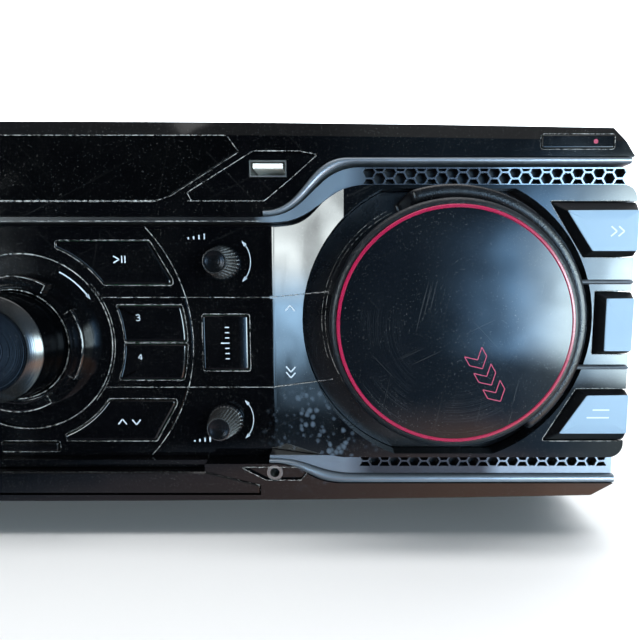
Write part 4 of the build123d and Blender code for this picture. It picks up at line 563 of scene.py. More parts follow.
def socket_material(name):
    """Nickel shells, with a cream plastic tongue in each of the two wide sockets."""
    material, tree, shader, place = new_material(name)
    parts = axes(tree, place)
    inside = []
    for away, middle, half in zip((math_node(tree, "ABSOLUTE", parts["X"]), parts["Z"]), USB_PLACE, USB_TONGUE):
        away = math_node(tree, "ABSOLUTE", math_node(tree, "SUBTRACT", away, middle / 1000))
        inside.append(math_node(tree, "LESS_THAN", away, half / 1000))
    tongue = times(tree, *inside)
    color = blend(tree, tongue, (0.50, 0.49, 0.47), (0.85, 0.83, 0.76))
    worn(tree, shader, place, color, 0.3, 0.3, 0.02, height=0.1)
    tree.links.new(times(tree, math_node(tree, "SUBTRACT", 1.0, tongue), 0.95), shader.inputs["Metallic"])
    return material


def board_material(name):
    """Circuit board: green mask with lighter tracks."""
    material, tree, shader, place = new_material(name)
    cells = add_node(tree, "ShaderNodeTexVoronoi", {"Vector": place, "Scale": 260.0}, distance="MANHATTAN")
    tracks = ramp(tree, cells.outputs["Distance"], 0.30, 0.36)
    worn(tree, shader, place, blend(tree, tracks, (0.02, 0.09, 0.04), (0.05, 0.20, 0.09)), 0.35, 0.2, 0.1)
    return material


def ink_material(name, color):
    """Printed ink with small pinholes."""
    material, tree, shader, place = new_material(name)
    worn(tree, shader, place, color, 0.4, 0.1, 0.2, height=0.1)
    return material


TUNERS = (
    ("Treble Knob", TUNER_X, DIAL_Z + TUNER_RISE),
    ("Microphone Knob", TUNER_X, DIAL_Z - TUNER_RISE),
    ("Bass Knob", -TUNER_X, DIAL_Z + TUNER_RISE),
    ("Balance Knob", -TUNER_X, DIAL_Z - TUNER_RISE),
)


def make_materials(settings):
    """Material for each slot of the record, and the inks."""
    dust, scratches = settings.dust, settings.scratches
    return {
        "gloss_black": gloss_material("Gloss Black", (0.0012, 0.0012, 0.0016), 0.06, dust, scratches, 0.17),
        "display": gloss_material("Display", (0.0008, 0.0008, 0.001), 0.04, dust * 0.7, scratches * 0.7),
        "silver_blue": satin_material("Silver Blue", settings.silver),
        "grille": grille_material("Hex Grille"),
        "dark_texture": grain_material("Dark Grain", (0.003, 0.003, 0.004), 0.26, 0.6, 0.3),
        "red_ring": gloss_material("Red Ring", settings.ring, 0.25, 0.15, 0.01),
        "brushed_knob": turned_material("Turned Knob", (0.004, 0.005, 0.007), axis(*DIAL), 0.14, 0.35, DIAL_EDGE),
        "dark_knob": satin_material("Dark Knob", (0.07, 0.07, 0.074), 0.9, 0.2, 0.1),
        **{
            title: turned_material(title, (0.022, 0.024, 0.028), axis(x, z), 0.2, 0.9, TUNER_EDGE)
            for title, x, z in TUNERS
        },
        "side_key": side_key_sky_reflection_material("Side Key", settings.side_key),
        "right_wheel": wheel_material("Right Wheel", axis(WHEEL_X, WHEEL_Z)),
        "left_wheel": wheel_material("Left Wheel", axis(-WHEEL_X, WHEEL_Z)),
        # Pale lines that are partly dust and partly painted highlight on rounded edges
        "dust_line": seam_dust_and_highlight_material("Dust And Highlight Line"),
        "moulding": grain_material("Black Moulding", (0.015, 0.015, 0.016), 0.5, 0.2, 0.3),
        "board": board_material("Board"),
        "socket_metal": socket_material("Nickel"),
        "case_steel": grain_material("Case Paint", (0.010, 0.010, 0.011), 0.42, 0.35, 0.4),
        "plain_steel": grain_material("Black Zinc", (0.03, 0.03, 0.032), 0.4, 0.3, 0.2, 0.5),
        "aluminium": satin_material("Aluminium", (0.72, 0.73, 0.74), 0.95, 0.35, 0.2),
        "socket_plastic": grain_material("Socket Plastic", (0.012, 0.012, 0.012), 0.4, 0.25, 0.2),
        "rubber": grain_material("Rubber", (0.012, 0.012, 0.012), 0.7, 0.3, 0.6),
        "white_ink": ink_material("White Ink", settings.ink),
        "red_ink": ink_material("Red Ink", (0.34, 0.015, 0.06)),
    }


SLOT_MATERIALS = {}


def dress(made, body, slot, nodes=(), material=None):
    """Gives a new piece its material, picked by slot or by name, attaches it to its body and hides the nodes that it
    takes the place of.
    """
    made.data.materials.append(bpy.data.materials[material] if material else SLOT_MATERIALS[slot])
    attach(made, body)
    if nodes:
        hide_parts(*nodes)
    return made


# Pieces


def flip(corners, left, low):
    """Corners of a key mirrored to the left or below the dial, kept anticlockwise."""
    corners = np.array(corners, float)
    if left:
        corners[:, 0] = -corners[:, 0]
    if low:
        corners[:, 1] = 2 * DIAL_Z - corners[:, 1]
    return corners[::-1] if left != low else corners


def play_corners():
    """Corners of the key above and right of the dial."""
    low = 22.3
    start = math.degrees(math.asin(low / INNER_ARC))
    end = math.degrees(math.acos(14.3 / INNER_ARC))
    tips = np.array([(57.1, low), (57.1, 24.0), (49.0, 38.2), (14.3, 38.2)]) + (0, DIAL_Z)
    return np.vstack([tips, arc_points(INNER_ARC, end, start)])


def stack_corners():
    """Corners of the upper one of the two stacked keys."""
    low, high = 0.55, 14.1
    outer = arc_points(OUTER_ARC, math.degrees(math.asin(low / OUTER_ARC)), math.degrees(math.asin(high / OUTER_ARC)))
    inner = arc_points(INNER_ARC, math.degrees(math.asin(high / INNER_ARC)), math.degrees(math.asin(low / INNER_ARC)))
    return np.vstack([outer, inner])


def box_corners(x, z, width, height):
    """Corners of a rectangle, anticlockwise."""
    return np.array([(-1, -1), (1, -1), (1, 1), (-1, 1)]) * (width / 2, height / 2) + (x, z)


def key_stations(rim, reach=KEY_REACH):
    """Side wall and quarter-round rim of a key: inset and reach."""
    turn = np.linspace(0, np.pi / 2, 7)[1:]
    round_part = [(rim * (1 - math.cos(a)), reach - rim + rim * math.sin(a)) for a in turn]
    return [(0.0, -2.0), (0.0, reach - rim)] + round_part + [(rim + 0.12, reach)]


def rim_fall(rim, distance):
    """How far a rounded rim has fallen at a distance in from the edge."""
    left = np.clip(rim - distance, 0.0, rim)
    return rim - np.sqrt(rim**2 - left**2)


def function_cap(side, rim):
    """Square key. Reach is the top less the falls of its rims and of the strip that slopes to the outer side.

    Points beyond a corner's circle are drawn in to it.
    """
    half_width, half_height = FUNCTION_SIZE[0] / 2, FUNCTION_SIZE[1] / 2
    strip_start, strip_slope = 5.5, 0.27
    steps = rim * np.array([0.0, 0.04, 0.15, 0.35, 0.65, 1.0, 1.15])
    across = np.concatenate([[0.0], steps, [strip_start - 0.1 + half_width, strip_start + half_width]]) - half_width
    across = np.concatenate([across, half_width - steps[::-1], [half_width]])
    upward = np.concatenate([[0.0], steps]) - half_height
    upward = np.concatenate([upward, -upward[::-1]])
    u, v = across[:, None], upward[None, :]
    reach = KEY_REACH - rim_fall(rim, half_width - np.abs(u)) - rim_fall(rim, half_height - np.abs(v))
    reach = np.maximum(reach - np.maximum(u - strip_start, 0) * strip_slope, -1.0)
    reach[[0, -1], :] = -2.0
    reach[:, [0, -1]] = -2.0
    corner = 1.2
    over_u = np.maximum(np.abs(u) - half_width + corner, 0)
    over_v = np.maximum(np.abs(v) - half_height + corner, 0)
    pull = np.minimum(1.0, corner / np.maximum(np.hypot(over_u, over_v), 1e-6))
    u = np.sign(u) * (np.abs(u) - over_u * (1 - pull))
    v = np.sign(v) * (np.abs(v) - over_v * (1 - pull))
    grid = front(side * (FUNCTION_X + u), DIAL_Z + v, reach)
    return facing(grid, side)


DECK_KEYS = {
    (False, False): ("play_key", "number_3_key"),
    (False, True): ("key_change_key", "number_4_key"),
    (True, False): ("stop_key", "number_1_key"),
    (True, True): ("echo_key", "number_2_key"),
}


def flat_key(node, box, rounding, rim, reach=KEY_REACH, buried=0):
    """Key on a rectangle: wall and rim carried round its outline, less the first stations where these are buried."""
    grid = cap_grid(outline(box_corners(*box), rounding=rounding), key_stations(rim, reach)[buried:], box[:2])
    dress(surface(node + "_cap", grid, closed=True), node + "_body", "gloss_black", [node])


def build_deck_keys(settings):
    """Key caps. Each is a quarter-round rim carried round the key's outline, drawn in to its middle."""
    rim = settings.rim
    shapes = ((play_corners(), (42.0, 104.0)), (stack_corners(), (50.0, 80.3)))
    for left in (False, True):
        for low in (False, True):
            for node, (corners, middle) in zip(DECK_KEYS[left, low], shapes):
                spot = flip([middle], left, low)[0]
                line = outline(flip(corners, left, low), rounding=0.7)
                made = surface(node + "_cap", cap_grid(line, key_stations(rim), spot), closed=True)
                dress(made, node + "_body", "gloss_black", [node])
        side = -1 if left else 1
        node = "left_function_key" if left else "right_function_key"
        dress(merged(node + "_cap", [function_cap(side, rim)], sharp=30), node + "_body", "gloss_black", [node])
        node = "power_key" if left else "record_key"
        flat_key(node, (side * RECORD_KEY[0], *RECORD_KEY[1:]), 0.4, 0.3, FASCIA_REACH + 0.2, buried=1)
    flat_key("open_key", OPEN_KEY, 0.6, 0.5)


SIDE_KEYS = {
    "upper": (((195.0, 124.1), (224.8, 124.1), (224.8, 105.2), (207.0, 105.2)),
              ((199.4, 120.7), (224.0, 120.8), (224.0, 107.0), (208.6, 107.0))),
    "middle": (((212.0, 92.6), (224.8, 92.6), (224.8, 70.5), (212.0, 70.5)),
               ((214.5, 90.3), (224.0, 90.4), (224.0, 71.8), (214.5, 71.8))),
    "lower": (((206.9, 57.0), (224.8, 57.0), (224.8, 38.3), (195.6, 38.3)),
              ((209.3, 55.6), (224.0, 55.8), (224.0, 41.8), (199.9, 41.8))),
}


def build_side_keys():
    """Side keys. The outline goes over from the foot's four sides to the face's four sides as it rises."""
    stations = [(0.0, 2.75), (0.0, 9.4), (0.03, 9.9), (0.12, 10.4), (0.88, 12.8), (0.97, 13.25)]
    stations.append((1.03, SIDE_KEY_REACH))
    for place, (foot, face) in SIDE_KEYS.items():
        for side in (1, -1):
            lines = []
            for corners in (foot, face):
                corners = facing(np.array(corners, float)[::-1] * (side, 1), side)
                edges = [np.linspace(corners[k], corners[(k + 1) % 4], 40, endpoint=False) for k in range(4)]
                line = np.concatenate(edges)
                lines.append(np.mean([np.roll(line, step, axis=0) for step in range(-1, 2)], axis=0))
            foot_line, face_line = lines
            rings = []
            for share, reach in stations:
                line = foot_line + (face_line - foot_line) * share
                rings.append(np.column_stack([line, np.full(len(line), reach)]))
            target = rings[-1].mean(axis=0)
            rings += [target + (rings[-1] - target) * share for share in (0.5, 0.0)]
            rings = np.stack(rings, axis=1)
            rings[..., 0] = np.clip(rings[..., 0], -CASE_SIDE, CASE_SIDE)
            name = ("right_" if side > 0 else "left_") + place + "_side_key"
            made = surface(name + "_cap", front(rings[..., 0], rings[..., 1], rings[..., 2]), closed=True)
            dress(made, name + "_body", "side_key", [name])


def build_wheels(settings):
    """Wheels. A crowned face, a groove for the ring and a rounded rim, turned about the wheel's axis."""
    rim_radius = 2.2
    face = [(r, -settings.crown * (r / RING_INNER) ** 2) for r in np.linspace(RING_INNER, 0.0, 14)]
    rim = []
    for turn in np.linspace(0, np.pi / 2, 8):
        rim.append((WHEEL_RADIUS - rim_radius + rim_radius * math.cos(turn), -3.9 + rim_radius * math.sin(turn)))
    groove = [(RING_OUTER + 0.15, -1.75), (RING_OUTER, -1.9), (RING_OUTER, -2.6), (RING_INNER, -2.6)]
    profile = [(WHEEL_RADIUS, -WHEEL_DEPTH)] + rim + groove + face
    profile = [(radius, WHEEL_REACH + fall) for radius, fall in profile]
    ring = [(RING_OUTER - 0.05, -2.55), (RING_OUTER - 0.05, -1.1), (RING_OUTER - 0.3, -0.8),
            (RING_INNER + 0.35, -0.7), (RING_INNER + 0.05, -1.0), (RING_INNER + 0.05, -2.55)]
    ring = [(radius, WHEEL_REACH + fall) for radius, fall in ring]
    for side, word in SIDES:
        made = surface(word + "_wheel_face", turned_grid(side * WHEEL_X, WHEEL_Z, profile), closed=True, sharp=50)
        dress(made, word + "_dj_wheel", "gloss_black", [word + "_wheel"], material=word.title() + " Wheel")
        made = surface(word + "_wheel_hoop", turned_grid(side * WHEEL_X, WHEEL_Z, ring), closed=True)
        dress(made, word + "_dj_wheel", "red_ring", [word + "_wheel_ring"])


def crescent_share(angle, side):
    """How much of the crescent stands at an angle: 1 on the outer side, 0 on the inner side."""
    turn = np.degrees(np.arctan2(np.sin(angle), side * np.cos(angle)))
    return smooth_step(turn, -58.0, -52.0) * (1 - smooth_step(turn, 107.0, 113.0))


def build_surrounds():
    """Wheel surrounds. Reach is a function of radius and angle: a low ring with a tall rounded crescent.

    The ring is cut off level above and below. The crescent's section is its radii and their share of its rise.
    """
    angle = np.linspace(0, 2 * np.pi, 288, endpoint=False)[:, None]
    low, high = WELL_HEIGHTS[0] - WHEEL_Z, WELL_HEIGHTS[1] - WHEEL_Z
    rise = np.sin(angle)
    limit = np.where(rise > 0, high / np.maximum(rise, 1e-6), low / np.minimum(rise, -1e-6))
    outer = np.minimum(WELL_RADIUS, limit)
    inner_radii = np.array([46.0, 45.75, 45.5, 45.3, 45.0, 44.4, 43.6, 43.0, 42.6, 42.35, 42.25, 42.25])
    lift = np.array([0.0, 0.25, 0.62, 0.86, 0.96, 1.0, 1.0, 0.97, 0.9, 0.75, 0.5, -0.38])
    spread = np.array([2.0, 2.0, 2.0, 2.0, 2.0, 1.6, 0.6, 0.0, 0.0, 0.0, 0.0, 0.0])
    for side, word in SIDES:
        share = crescent_share(angle, side)
        floor = outer + (CRESCENT_FOOT - outer) * np.linspace(0, 1, 5)[None, :]
        floor = np.maximum(floor, CRESCENT_FOOT + spread[0] * share)
        radius = np.concatenate([outer, floor, inner_radii + spread * share], axis=1)
        section = WELL_REACH + CRESCENT_RISE * np.where(lift > 0, lift * share, lift)
        reach = np.concatenate([SUNK_REACH + 0 * outer, WELL_REACH + 0 * floor, section], axis=1)
        grid = front(side * WHEEL_X + radius * np.cos(angle), WHEEL_Z + radius * np.sin(angle), reach)
        dress(surface(word + "_well", grid, closed=True, sharp=60), "case", "dark_texture")
    ribs = []
    turn = np.linspace(-np.pi / 2, np.pi / 2, 9)[None, :]
    for side, _word in SIDES:
        for height in RIB_HEIGHTS:
            start = WHEEL_X + math.sqrt(RIB_START**2 - (height - WHEEL_Z) ** 2) - 1.0
            x = facing(side * np.array([start, RIB_END, RIB_END + 0.3]), side)[:, None]
            half = facing(np.array([0.85, 0.85, 0.5]), side)[:, None]
            ribs.append(front(x + 0 * turn, height + half * np.sin(turn), BEZEL_REACH + 1.9 * np.cos(turn)))
    dress(merged("wheel_ribs", ribs), "case", "silver_blue")
    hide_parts("wheel_surrounds")


# Lower and upper edge of the upper strip, then of the lower one, each from x, z to x, z
STRIPS = (
    ((93.4, 119.7, 127.0, 137.6), (93.4, 121.5, 123.3, 139.9)),
    ((94.3, 28.7, 122.0, 21.0), (94.3, 30.2, 125.5, 24.3)),
)


def build_strips():
    """Silver strips. A rounded section carried along the S-shaped band between its two edges."""
    along = np.concatenate([np.linspace(0, 1, 60), 1 + np.linspace(0.02, 1, 24)])
    over = np.linspace(0, 1, 13)
    crest = 7.6 + 1.4 * np.sin(np.pi * over) ** 0.5
    section = np.concatenate([[SUNK_REACH], crest, [SUNK_REACH]])
    place = np.concatenate([[0.0], over, [1.0]])
    grids = []
    for edges in STRIPS:
        rails = []
        for rail in edges:
            x, z = bezier_sweep(rail, np.clip(along, 0, 1))
            rails.append(np.array([np.where(along > 1, rail[2] + (STRIP_END - rail[2]) * (along - 1), x), z]))
        x, z = rails[0][..., None] * (1 - place) + rails[1][..., None] * place
        for side, _word in SIDES:
            grids.append(facing(front(side * x, z, section[None, :] + 0 * x), side))
    dress(merged("silver_strip_sections", grids, sharp=60), "case", "silver_blue", ["silver_trim_strips"])


def build_creases():
    """Fillets in the creases. Part of a circle that meets the deck and the wedge is carried up between the seams.

    Its radius is the length that it covers on the deck, divided by the tangent of half the wedge's tilt.
    """
    tilt = math.atan2(WEDGE_RISE, WEDGE_WIDTH)
    length = 2.4
    radius = length / math.tan(tilt / 2)
    turn = np.linspace(0, tilt, 9)[None, :]
    between_seams = ((31.9, 55.2), (56.2, 89.8), (90.8, 117.1))
    grids = []
    for low, high in between_seams:
        height = np.linspace(low, high, 4)[:, None]
        across = CREASE_X - length + radius * np.sin(turn)
        reach = radius * (1 - np.cos(turn)) + 0.02
        for side, _word in SIDES:
            grid = front(side * across + 0 * height, height + 0 * turn, reach)
            grids.append(grid[:, ::-1] if side > 0 else grid)
    dress(merged("crease_fillets", grids), "case", "gloss_black")


def build_dial():
    """Volume knob and its ring. Both are turned about the dial's axis; the ring's outer part has four notches."""
    wall = [(KNOB_RADIUS, 0.8), (KNOB_RADIUS, 4.8), (19.6, 6.0)]
    chamfer = [(19.1, 17.9), (18.95, 18.35), (18.6, 18.7), (16.4, 20.05), (14.8, 20.95), (14.5, KNOB_REACH)]
    face = [(r, KNOB_REACH - 0.3 * (1 - r / 14.5)) for r in np.linspace(14.2, 0, 16)]
    made = surface("volume_cone", turned_grid(*DIAL, wall + chamfer + face), closed=True, sharp=50)
    dress(made, "volume", "brushed_knob", ["volume_knob"])
    outer = [(26.0, -0.9), (26.0, 5.2), (25.8, 5.8), (25.2, 6.15), (24.6, RING_REACH), (22.9, RING_REACH)]
    profile = outer + [(22.4, 6.1), (22.0, RING_REACH), (21.2, RING_REACH), (20.8, 6.0), (20.6, 5.6), (20.6, -0.9)]

    def notch(angle, radius, reach):
        """Ring reach lowered to the notch floor within 14 degrees of the diagonals."""
        away = np.degrees((angle + np.pi / 4) % (np.pi / 2))
        away = np.minimum(away, 90 - away)
        inside = (1 - smooth_step(away, 13.0, 14.5)) * (radius > 22.35)
        lowered = np.where(reach > NOTCH_REACH, reach + (NOTCH_REACH - reach) * inside, reach + 0 * angle)
        return radius + 0 * angle, lowered

    made = surface("volume_ring_turned", turned_grid(*DIAL, profile, 360, notch), closed=True, sharp=50)
    dress(made, "case", "gloss_black", ["volume_ring"])


def build_tuners():
    """Small knobs. Tapered, with flutes as a wave of the radius round the axis, and a turned flat face."""
    profile = [(6.7, 0.6), (6.7, 1.6), (6.5, 1.9), (6.0, 2.6), (4.9, 9.6), (4.6, 10.9), (4.2, 11.4), (3.6, 11.5),
               (3.2, 11.3), (0.0, 11.3)]

    def flutes(angle, radius, reach):
        """Radius cut in at each flute by its depth, on the tapered part only."""
        on_side = (reach > 1.8) & (reach < 11.35) & (radius > 3.4)
        return radius - FLUTE_DEPTH * on_side * np.abs(np.sin(FLUTES / 2 * angle)) ** 0.6, reach + 0 * angle

    for title, x, z in TUNERS:
        name = title.split()[0].lower()
        made = surface(name + "_fluted", turned_grid(x, z, profile, 360, flutes), closed=True, sharp=45)
        dress(made, name, "dark_knob", [name + "_knob"], material=title)


# Printed marks


def stroke(points, width, reach):
    """Ribbon along a line of points on the front, just over the surface. Its width is even or given by point."""
    points = np.asarray(points, float)
    tangent = np.gradient(points, axis=0)
    tangent /= np.hypot(*tangent.T)[:, None] + 1e-9
    half = np.broadcast_to(np.asarray(width, float) / 2, len(points))[:, None]
    normal = np.stack([-tangent[:, 1], tangent[:, 0]], axis=-1) * half
    sides = np.stack([points - normal, points + normal], axis=1)
    return front(sides[..., 0], sides[..., 1], reach + MARK_LIFT)


def arc_arrow(centre, radius, start, end, reach, double=True, width=0.28):
    """Curved arrow about a centre, with one head or two."""
    line = arc_points(radius, start, end, centre=centre)
    made = [stroke(line[3:-3] if double else line[:-3], width, reach)]
    tips = [(line[-1], line[-6])] + ([(line[0], line[5])] if double else [])
    for tip, back in tips:
        made.append(stroke(np.linspace(back, tip, 4), [1.3, 0.9, 0.45, 0.02], reach))
    return made


def path(*corners):
    """Points along straight runs between corners."""
    corners = np.asarray(corners, float)
    last = len(corners) - 2
    return np.concatenate([np.linspace(corners[k], corners[k + 1], 6, endpoint=k == last) for k in range(last + 1)])


def runs(width, reach, *lines):
    """Straight ribbons between the corners of each line."""
    return [stroke(np.linspace(*ends, 3), width, reach) for line in lines for ends in zip(line[:-1], line[1:])]


def digit(number, x, z, size, reach):
    """Plain numeral drawn with straight ribbons."""
    shapes = {
        1: [[(0.2, 0.8), (0.5, 1.0), (0.5, 0.0)]],
        2: [[(0.0, 0.8), (0.2, 1.0), (0.5, 1.0), (0.65, 0.8), (0.6, 0.55), (0.0, 0.0), (0.65, 0.0)]],
        3: [[(0.0, 0.9), (0.2, 1.0), (0.5, 1.0), (0.62, 0.8), (0.5, 0.55), (0.25, 0.53)],
            [(0.5, 0.55), (0.66, 0.35), (0.6, 0.1), (0.4, 0.0), (0.15, 0.0), (0.0, 0.12)]],
        4: [[(0.5, 0.0), (0.5, 1.0), (0.0, 0.3), (0.7, 0.3)]],
    }
    return runs(size * 0.13, reach, *[np.array(line) * size + (x, z) for line in shapes[number]])


def ticks(x, length, reach):
    """Column of seven short ticks, the middle one twice as long."""
    made = []
    for k in range(7):
        z = DIAL_Z + 2.0 * (k - 3)
        made.append(stroke(path((x, z), (x - length * (2 if k == 3 else 1), z)), 0.4, reach))
    return made


def grown(corners, amount):
    """Outline moved outwards by an even amount, from its evenly spaced and slightly rounded line."""
    line = outline(corners, rounding=0.5)
    return line - inward(line) * amount


def loop(line, width, reach):
    """Ribbon round a closed line."""
    line = np.vstack([line, line[:2]])
    return stroke(line, width, reach)[:-1]


def on_wedge(ribbon):
    """Ribbon laid onto the wedge between the deck and the wheel."""
    aside = np.abs(ribbon[..., 0]) * 1000 - CREASE_X
    ribbon[..., 1] = (DECK_Y - aside * WEDGE_RISE / WEDGE_WIDTH - WEDGE_LIFT) / 1000
    return ribbon


def ring_arc(centre, radius, start, end, width, reach):
    """Ribbon along an arc about a centre, angles in degrees."""
    return stroke(arc_points(radius, start, end, max(8, int(abs(end - start) / 2)), centre), width, reach)


def sweep(start, end, side):
    """Angles of an arc that is mirrored to the left, in degrees."""
    return (start, end) if side > 0 else (180 - end, 180 - start)


def seam(corners, width, reach=0.0, gap=KEY_GAP, share=1.0):
    """Ribbon in the gap round an outline, broader or narrower than the dust's width by its share."""
    return loop(grown(corners, gap + width / 2), width * share, reach)


# Outlines of the recesses and of the tray on the front
USB_RECESS = np.array([(66.8, 127.6), (68.2, 124.9), (93.8, 124.9), (103.1, 132.4), (112.5, 140.6), (106.0, 141.8),
                       (90.3, 141.8)])
JACK_RECESS = np.array([(93.0, 22.2), (106.0, 22.2), (109.6, 26.9), (84.0, 26.9)])
WINDOW = np.array([(-54.8, 124.7), (54.8, 124.7), (60.8, 126.7), (85.0, 141.6), (81.0, 147.1), (-81.0, 147.1),
                   (-85.0, 141.6), (-60.8, 126.7)])
TRAY = ((-90.3, 17.0), (-90.3, 19.9), (-88.9, 20.2), (-70.0, 24.9), (70.0, 24.9), (88.9, 20.2), (90.3, 19.9),
        (90.3, 17.0))


# Arcs about the dial and about a wheel, partly dust and partly painted highlight along the edges of the dish, the
# knob's gap and the crescents: radius, start, end, share of the dust lines' width, reach
DIAL_DUST_AND_HIGHLIGHTS = ((33.7, 0, 360, 1.4, 0.0), (34.7, -40, 40, 0.7, 0.0), (20.4, 0, 360, 1.2, 5.95))
WHEEL_DUST_AND_HIGHLIGHTS = ((43.9, 116, 300, 0.7, WELL_REACH), (45.2, 118, 200, 0.7, WELL_REACH), (45.3, -48, 104, 0.7, 16.6))


def build_seam_dust_and_highlights(settings):
    """Dust in the seams, and painted highlights on rounded edges. Flat ribbons follow the outlines of the keys, the
    arcs and the recesses.
    """
    width = settings.dust_and_highlight_width
    grids = []
    for left in (False, True):
        side = -1 if left else 1
        for low in (False, True):
            for corners in (play_corners(), stack_corners()):
                grids.append(seam(flip(corners, left, low), width))
            way = -1 if low else 1
            height = DIAL_Z + way * SEAM_RISE
            start = (side * CREASE_X, height)
            grids.append(stroke(path((side * 30.0, height), start), width, 0.0))
            end = (side * (CREASE_X + SEAM_RUN), height + SEAM_CLIMBS[way] * SEAM_RUN / WEDGE_WIDTH)
            grids.append(on_wedge(stroke(path(start, end), width * 1.2, 0.0)))
        grids.append(seam(box_corners(side * FUNCTION_X, DIAL_Z, *FUNCTION_SIZE), width))
        grids.append(stroke(arc_points(SEAM_ARC, *sweep(-43, 43, side), 90), width, 0.0))
        grids.append(seam(facing(USB_RECESS * (side, 1), side), width, FASCIA_REACH, gap=0.0))
        record_key = box_corners(side * RECORD_KEY[0], *RECORD_KEY[1:])
        grids.append(seam(record_key, width, FASCIA_REACH, share=0.7))
        grids.append(seam(facing(JACK_RECESS * (side, 1), side), width, FASCIA_REACH, gap=0.0))
        for foot, _face in SIDE_KEYS.values():
            corners = np.array(foot[::-1], float)
            corners[:, 0] = np.minimum(corners[:, 0], DUST_END)
            line = grown(facing(corners * (side, 1), side), KEY_GAP + width / 2)
            line = line[np.abs(line[:, 0]) < DUST_END - 0.2]
            start = np.argmax(np.hypot(*(np.roll(line, -1, axis=0) - line).T))
            grids.append(stroke(np.roll(line, -start - 1, axis=0), width, BEZEL_REACH))
    grids.append(seam(WINDOW, width, FASCIA_REACH, gap=0.0, share=0.8))
    grids.append(stroke(path((-54.8, 124.8), (54.8, 124.8)), width * 1.3, FASCIA_REACH))
    for side, _word in SIDES:
        grids.append(stroke(path((side * 66.8, 124.8), (side * 93.5, 124.8)), width, FASCIA_REACH))
    grids.append(stroke(path((-93.0, 117.8), (93.0, 117.8)), width, 7.5))
    for radius, start, end, share, reach in DIAL_DUST_AND_HIGHLIGHTS:
        grids.append(ring_arc(DIAL, radius, start, end, width * share, reach))
    # Painted highlight along the rounded outer edge of the ring, with short strokes at the ends of the notches
    for quarter in range(4):
        start, end = 90 * quarter + 59.5, 90 * quarter + 120.5
        grids.append(ring_arc(DIAL, 25.3, start, end, width * 0.9, RING_REACH - 0.05))
        for turn in (start, end):
            along = np.array([(math.cos(math.radians(turn)), math.sin(math.radians(turn)))])
            grids.append(stroke(DIAL + along * np.linspace(22.6, 25.3, 4)[:, None], width * 0.8, RING_REACH))
    for side, _word in SIDES:
        for radius, start, end, share, reach in WHEEL_DUST_AND_HIGHLIGHTS:
            turn = sweep(start, end, side)
            grids.append(ring_arc((side * WHEEL_X, WHEEL_Z), radius, *turn, width * share, reach))
    grids.append(seam(box_corners(*OPEN_KEY), width))
    dress(merged("seam_dust_and_highlights", grids), "case", None, material="Dust And Highlight Line")
    dress(merged("tray_dust", [stroke(path(*TRAY), width, 7.85)]), "tray", None, material="Dust And Highlight Line")


def deck_marks():
    """Ribbons of the marks on the deck: arrows and steps at the small knobs, one arrow at the dial, chevrons."""
    white = []
    for side, _word in SIDES:
        for rise in (TUNER_RISE, -TUNER_RISE):
            centre = (side * TUNER_X, DIAL_Z + rise + 0.4)
            white += arc_arrow(centre, 10.6, *sweep(-46, 46, side), 0.0)
            low = DIAL_Z + rise + math.copysign(8.6, rise)
            first = side * TUNER_X - (12.5 if side > 0 else -6.5)
            for k in range(4):
                x = first + 2.0 * k
                white += runs(0.55, 0.0, [(x, low), (x, low + 0.7 + 0.45 * k)])
    white += arc_arrow(DIAL, 30.4, 62, 33, -0.98, double=False, width=0.5)
    for side, _word in SIDES:
        for tip, low in ((87.4, 85.4), (62.2, 64.2), (60.0, 62.0)):
            chevron = [(side * 100.2, low), (side * 102.0, tip), (side * 103.8, low)]
            white += [on_wedge(ribbon) for ribbon in runs(SIDE_MARK_WIDTH, 0.0, chevron)]
    return white


def key_marks():
    """Ribbons of the mark of each key, by the key's body."""
    flat, side = (MARK_WIDTH, KEY_REACH), (SIDE_MARK_WIDTH, SIDE_KEY_REACH)
    bars = [stroke(path((x, 103.2), (x, 105.8)), *flat) for x in (39.2, 40.4)]
    square = [(-39.3, 103.3), (-36.7, 103.3), (-36.7, 105.9), (-39.3, 105.9), (-39.3, 103.3)]
    up, down = [(35.0, 41.4), (36.6, 43.4), (38.2, 41.4)], [(40.4, 43.2), (42.0, 41.2), (43.6, 43.2)]
    arrow, next_arrow = [[(x, 115.4), (x + 2.0, 113.7), (x, 112.0)] for x in (214.6, 217.2)]
    return {
        "play_key_body": runs(*flat, [(36.0, 103.2), (38.2, 104.5), (36.0, 105.8)]) + bars,
        "stop_key_body": runs(*flat, square),
        "number_3_key_body": digit(3, 43.6, 81.6, 2.2, KEY_REACH),
        "number_4_key_body": digit(4, 43.8, 66.6, 2.2, KEY_REACH),
        "number_1_key_body": digit(1, -46.0, 81.6, 2.2, KEY_REACH),
        "number_2_key_body": digit(2, -46.2, 66.6, 2.2, KEY_REACH),
        "key_change_key_body": runs(*flat, up, down),
        "echo_key_body": runs(*flat, [(-43.6, 41.4), (-42.0, 43.4), (-40.4, 41.4)]),
        "right_function_key_body": ticks(78.6, 1.6, KEY_REACH),
        "left_function_key_body": ticks(-78.6, -1.6, KEY_REACH),
        "right_upper_side_key_body": runs(*side, arrow, next_arrow),
        "right_lower_side_key_body": runs(*side, [(211.4, 50.4), (217.4, 50.4)], [(209.4, 47.6), (217.4, 47.6)]),
        "left_upper_side_key_body": runs(*side, [(-x, z) for x, z in arrow]),
        "left_lower_side_key_body": runs(*side, [(-217.4, 50.4), (-211.4, 50.4)]),
    }


CHEVRON = np.array([(0.0, 3.2), (3.4, 3.2), (6.4, 0.0), (3.4, -3.2), (0.0, -3.2), (3.0, 0.0), (0.0, 3.2)])


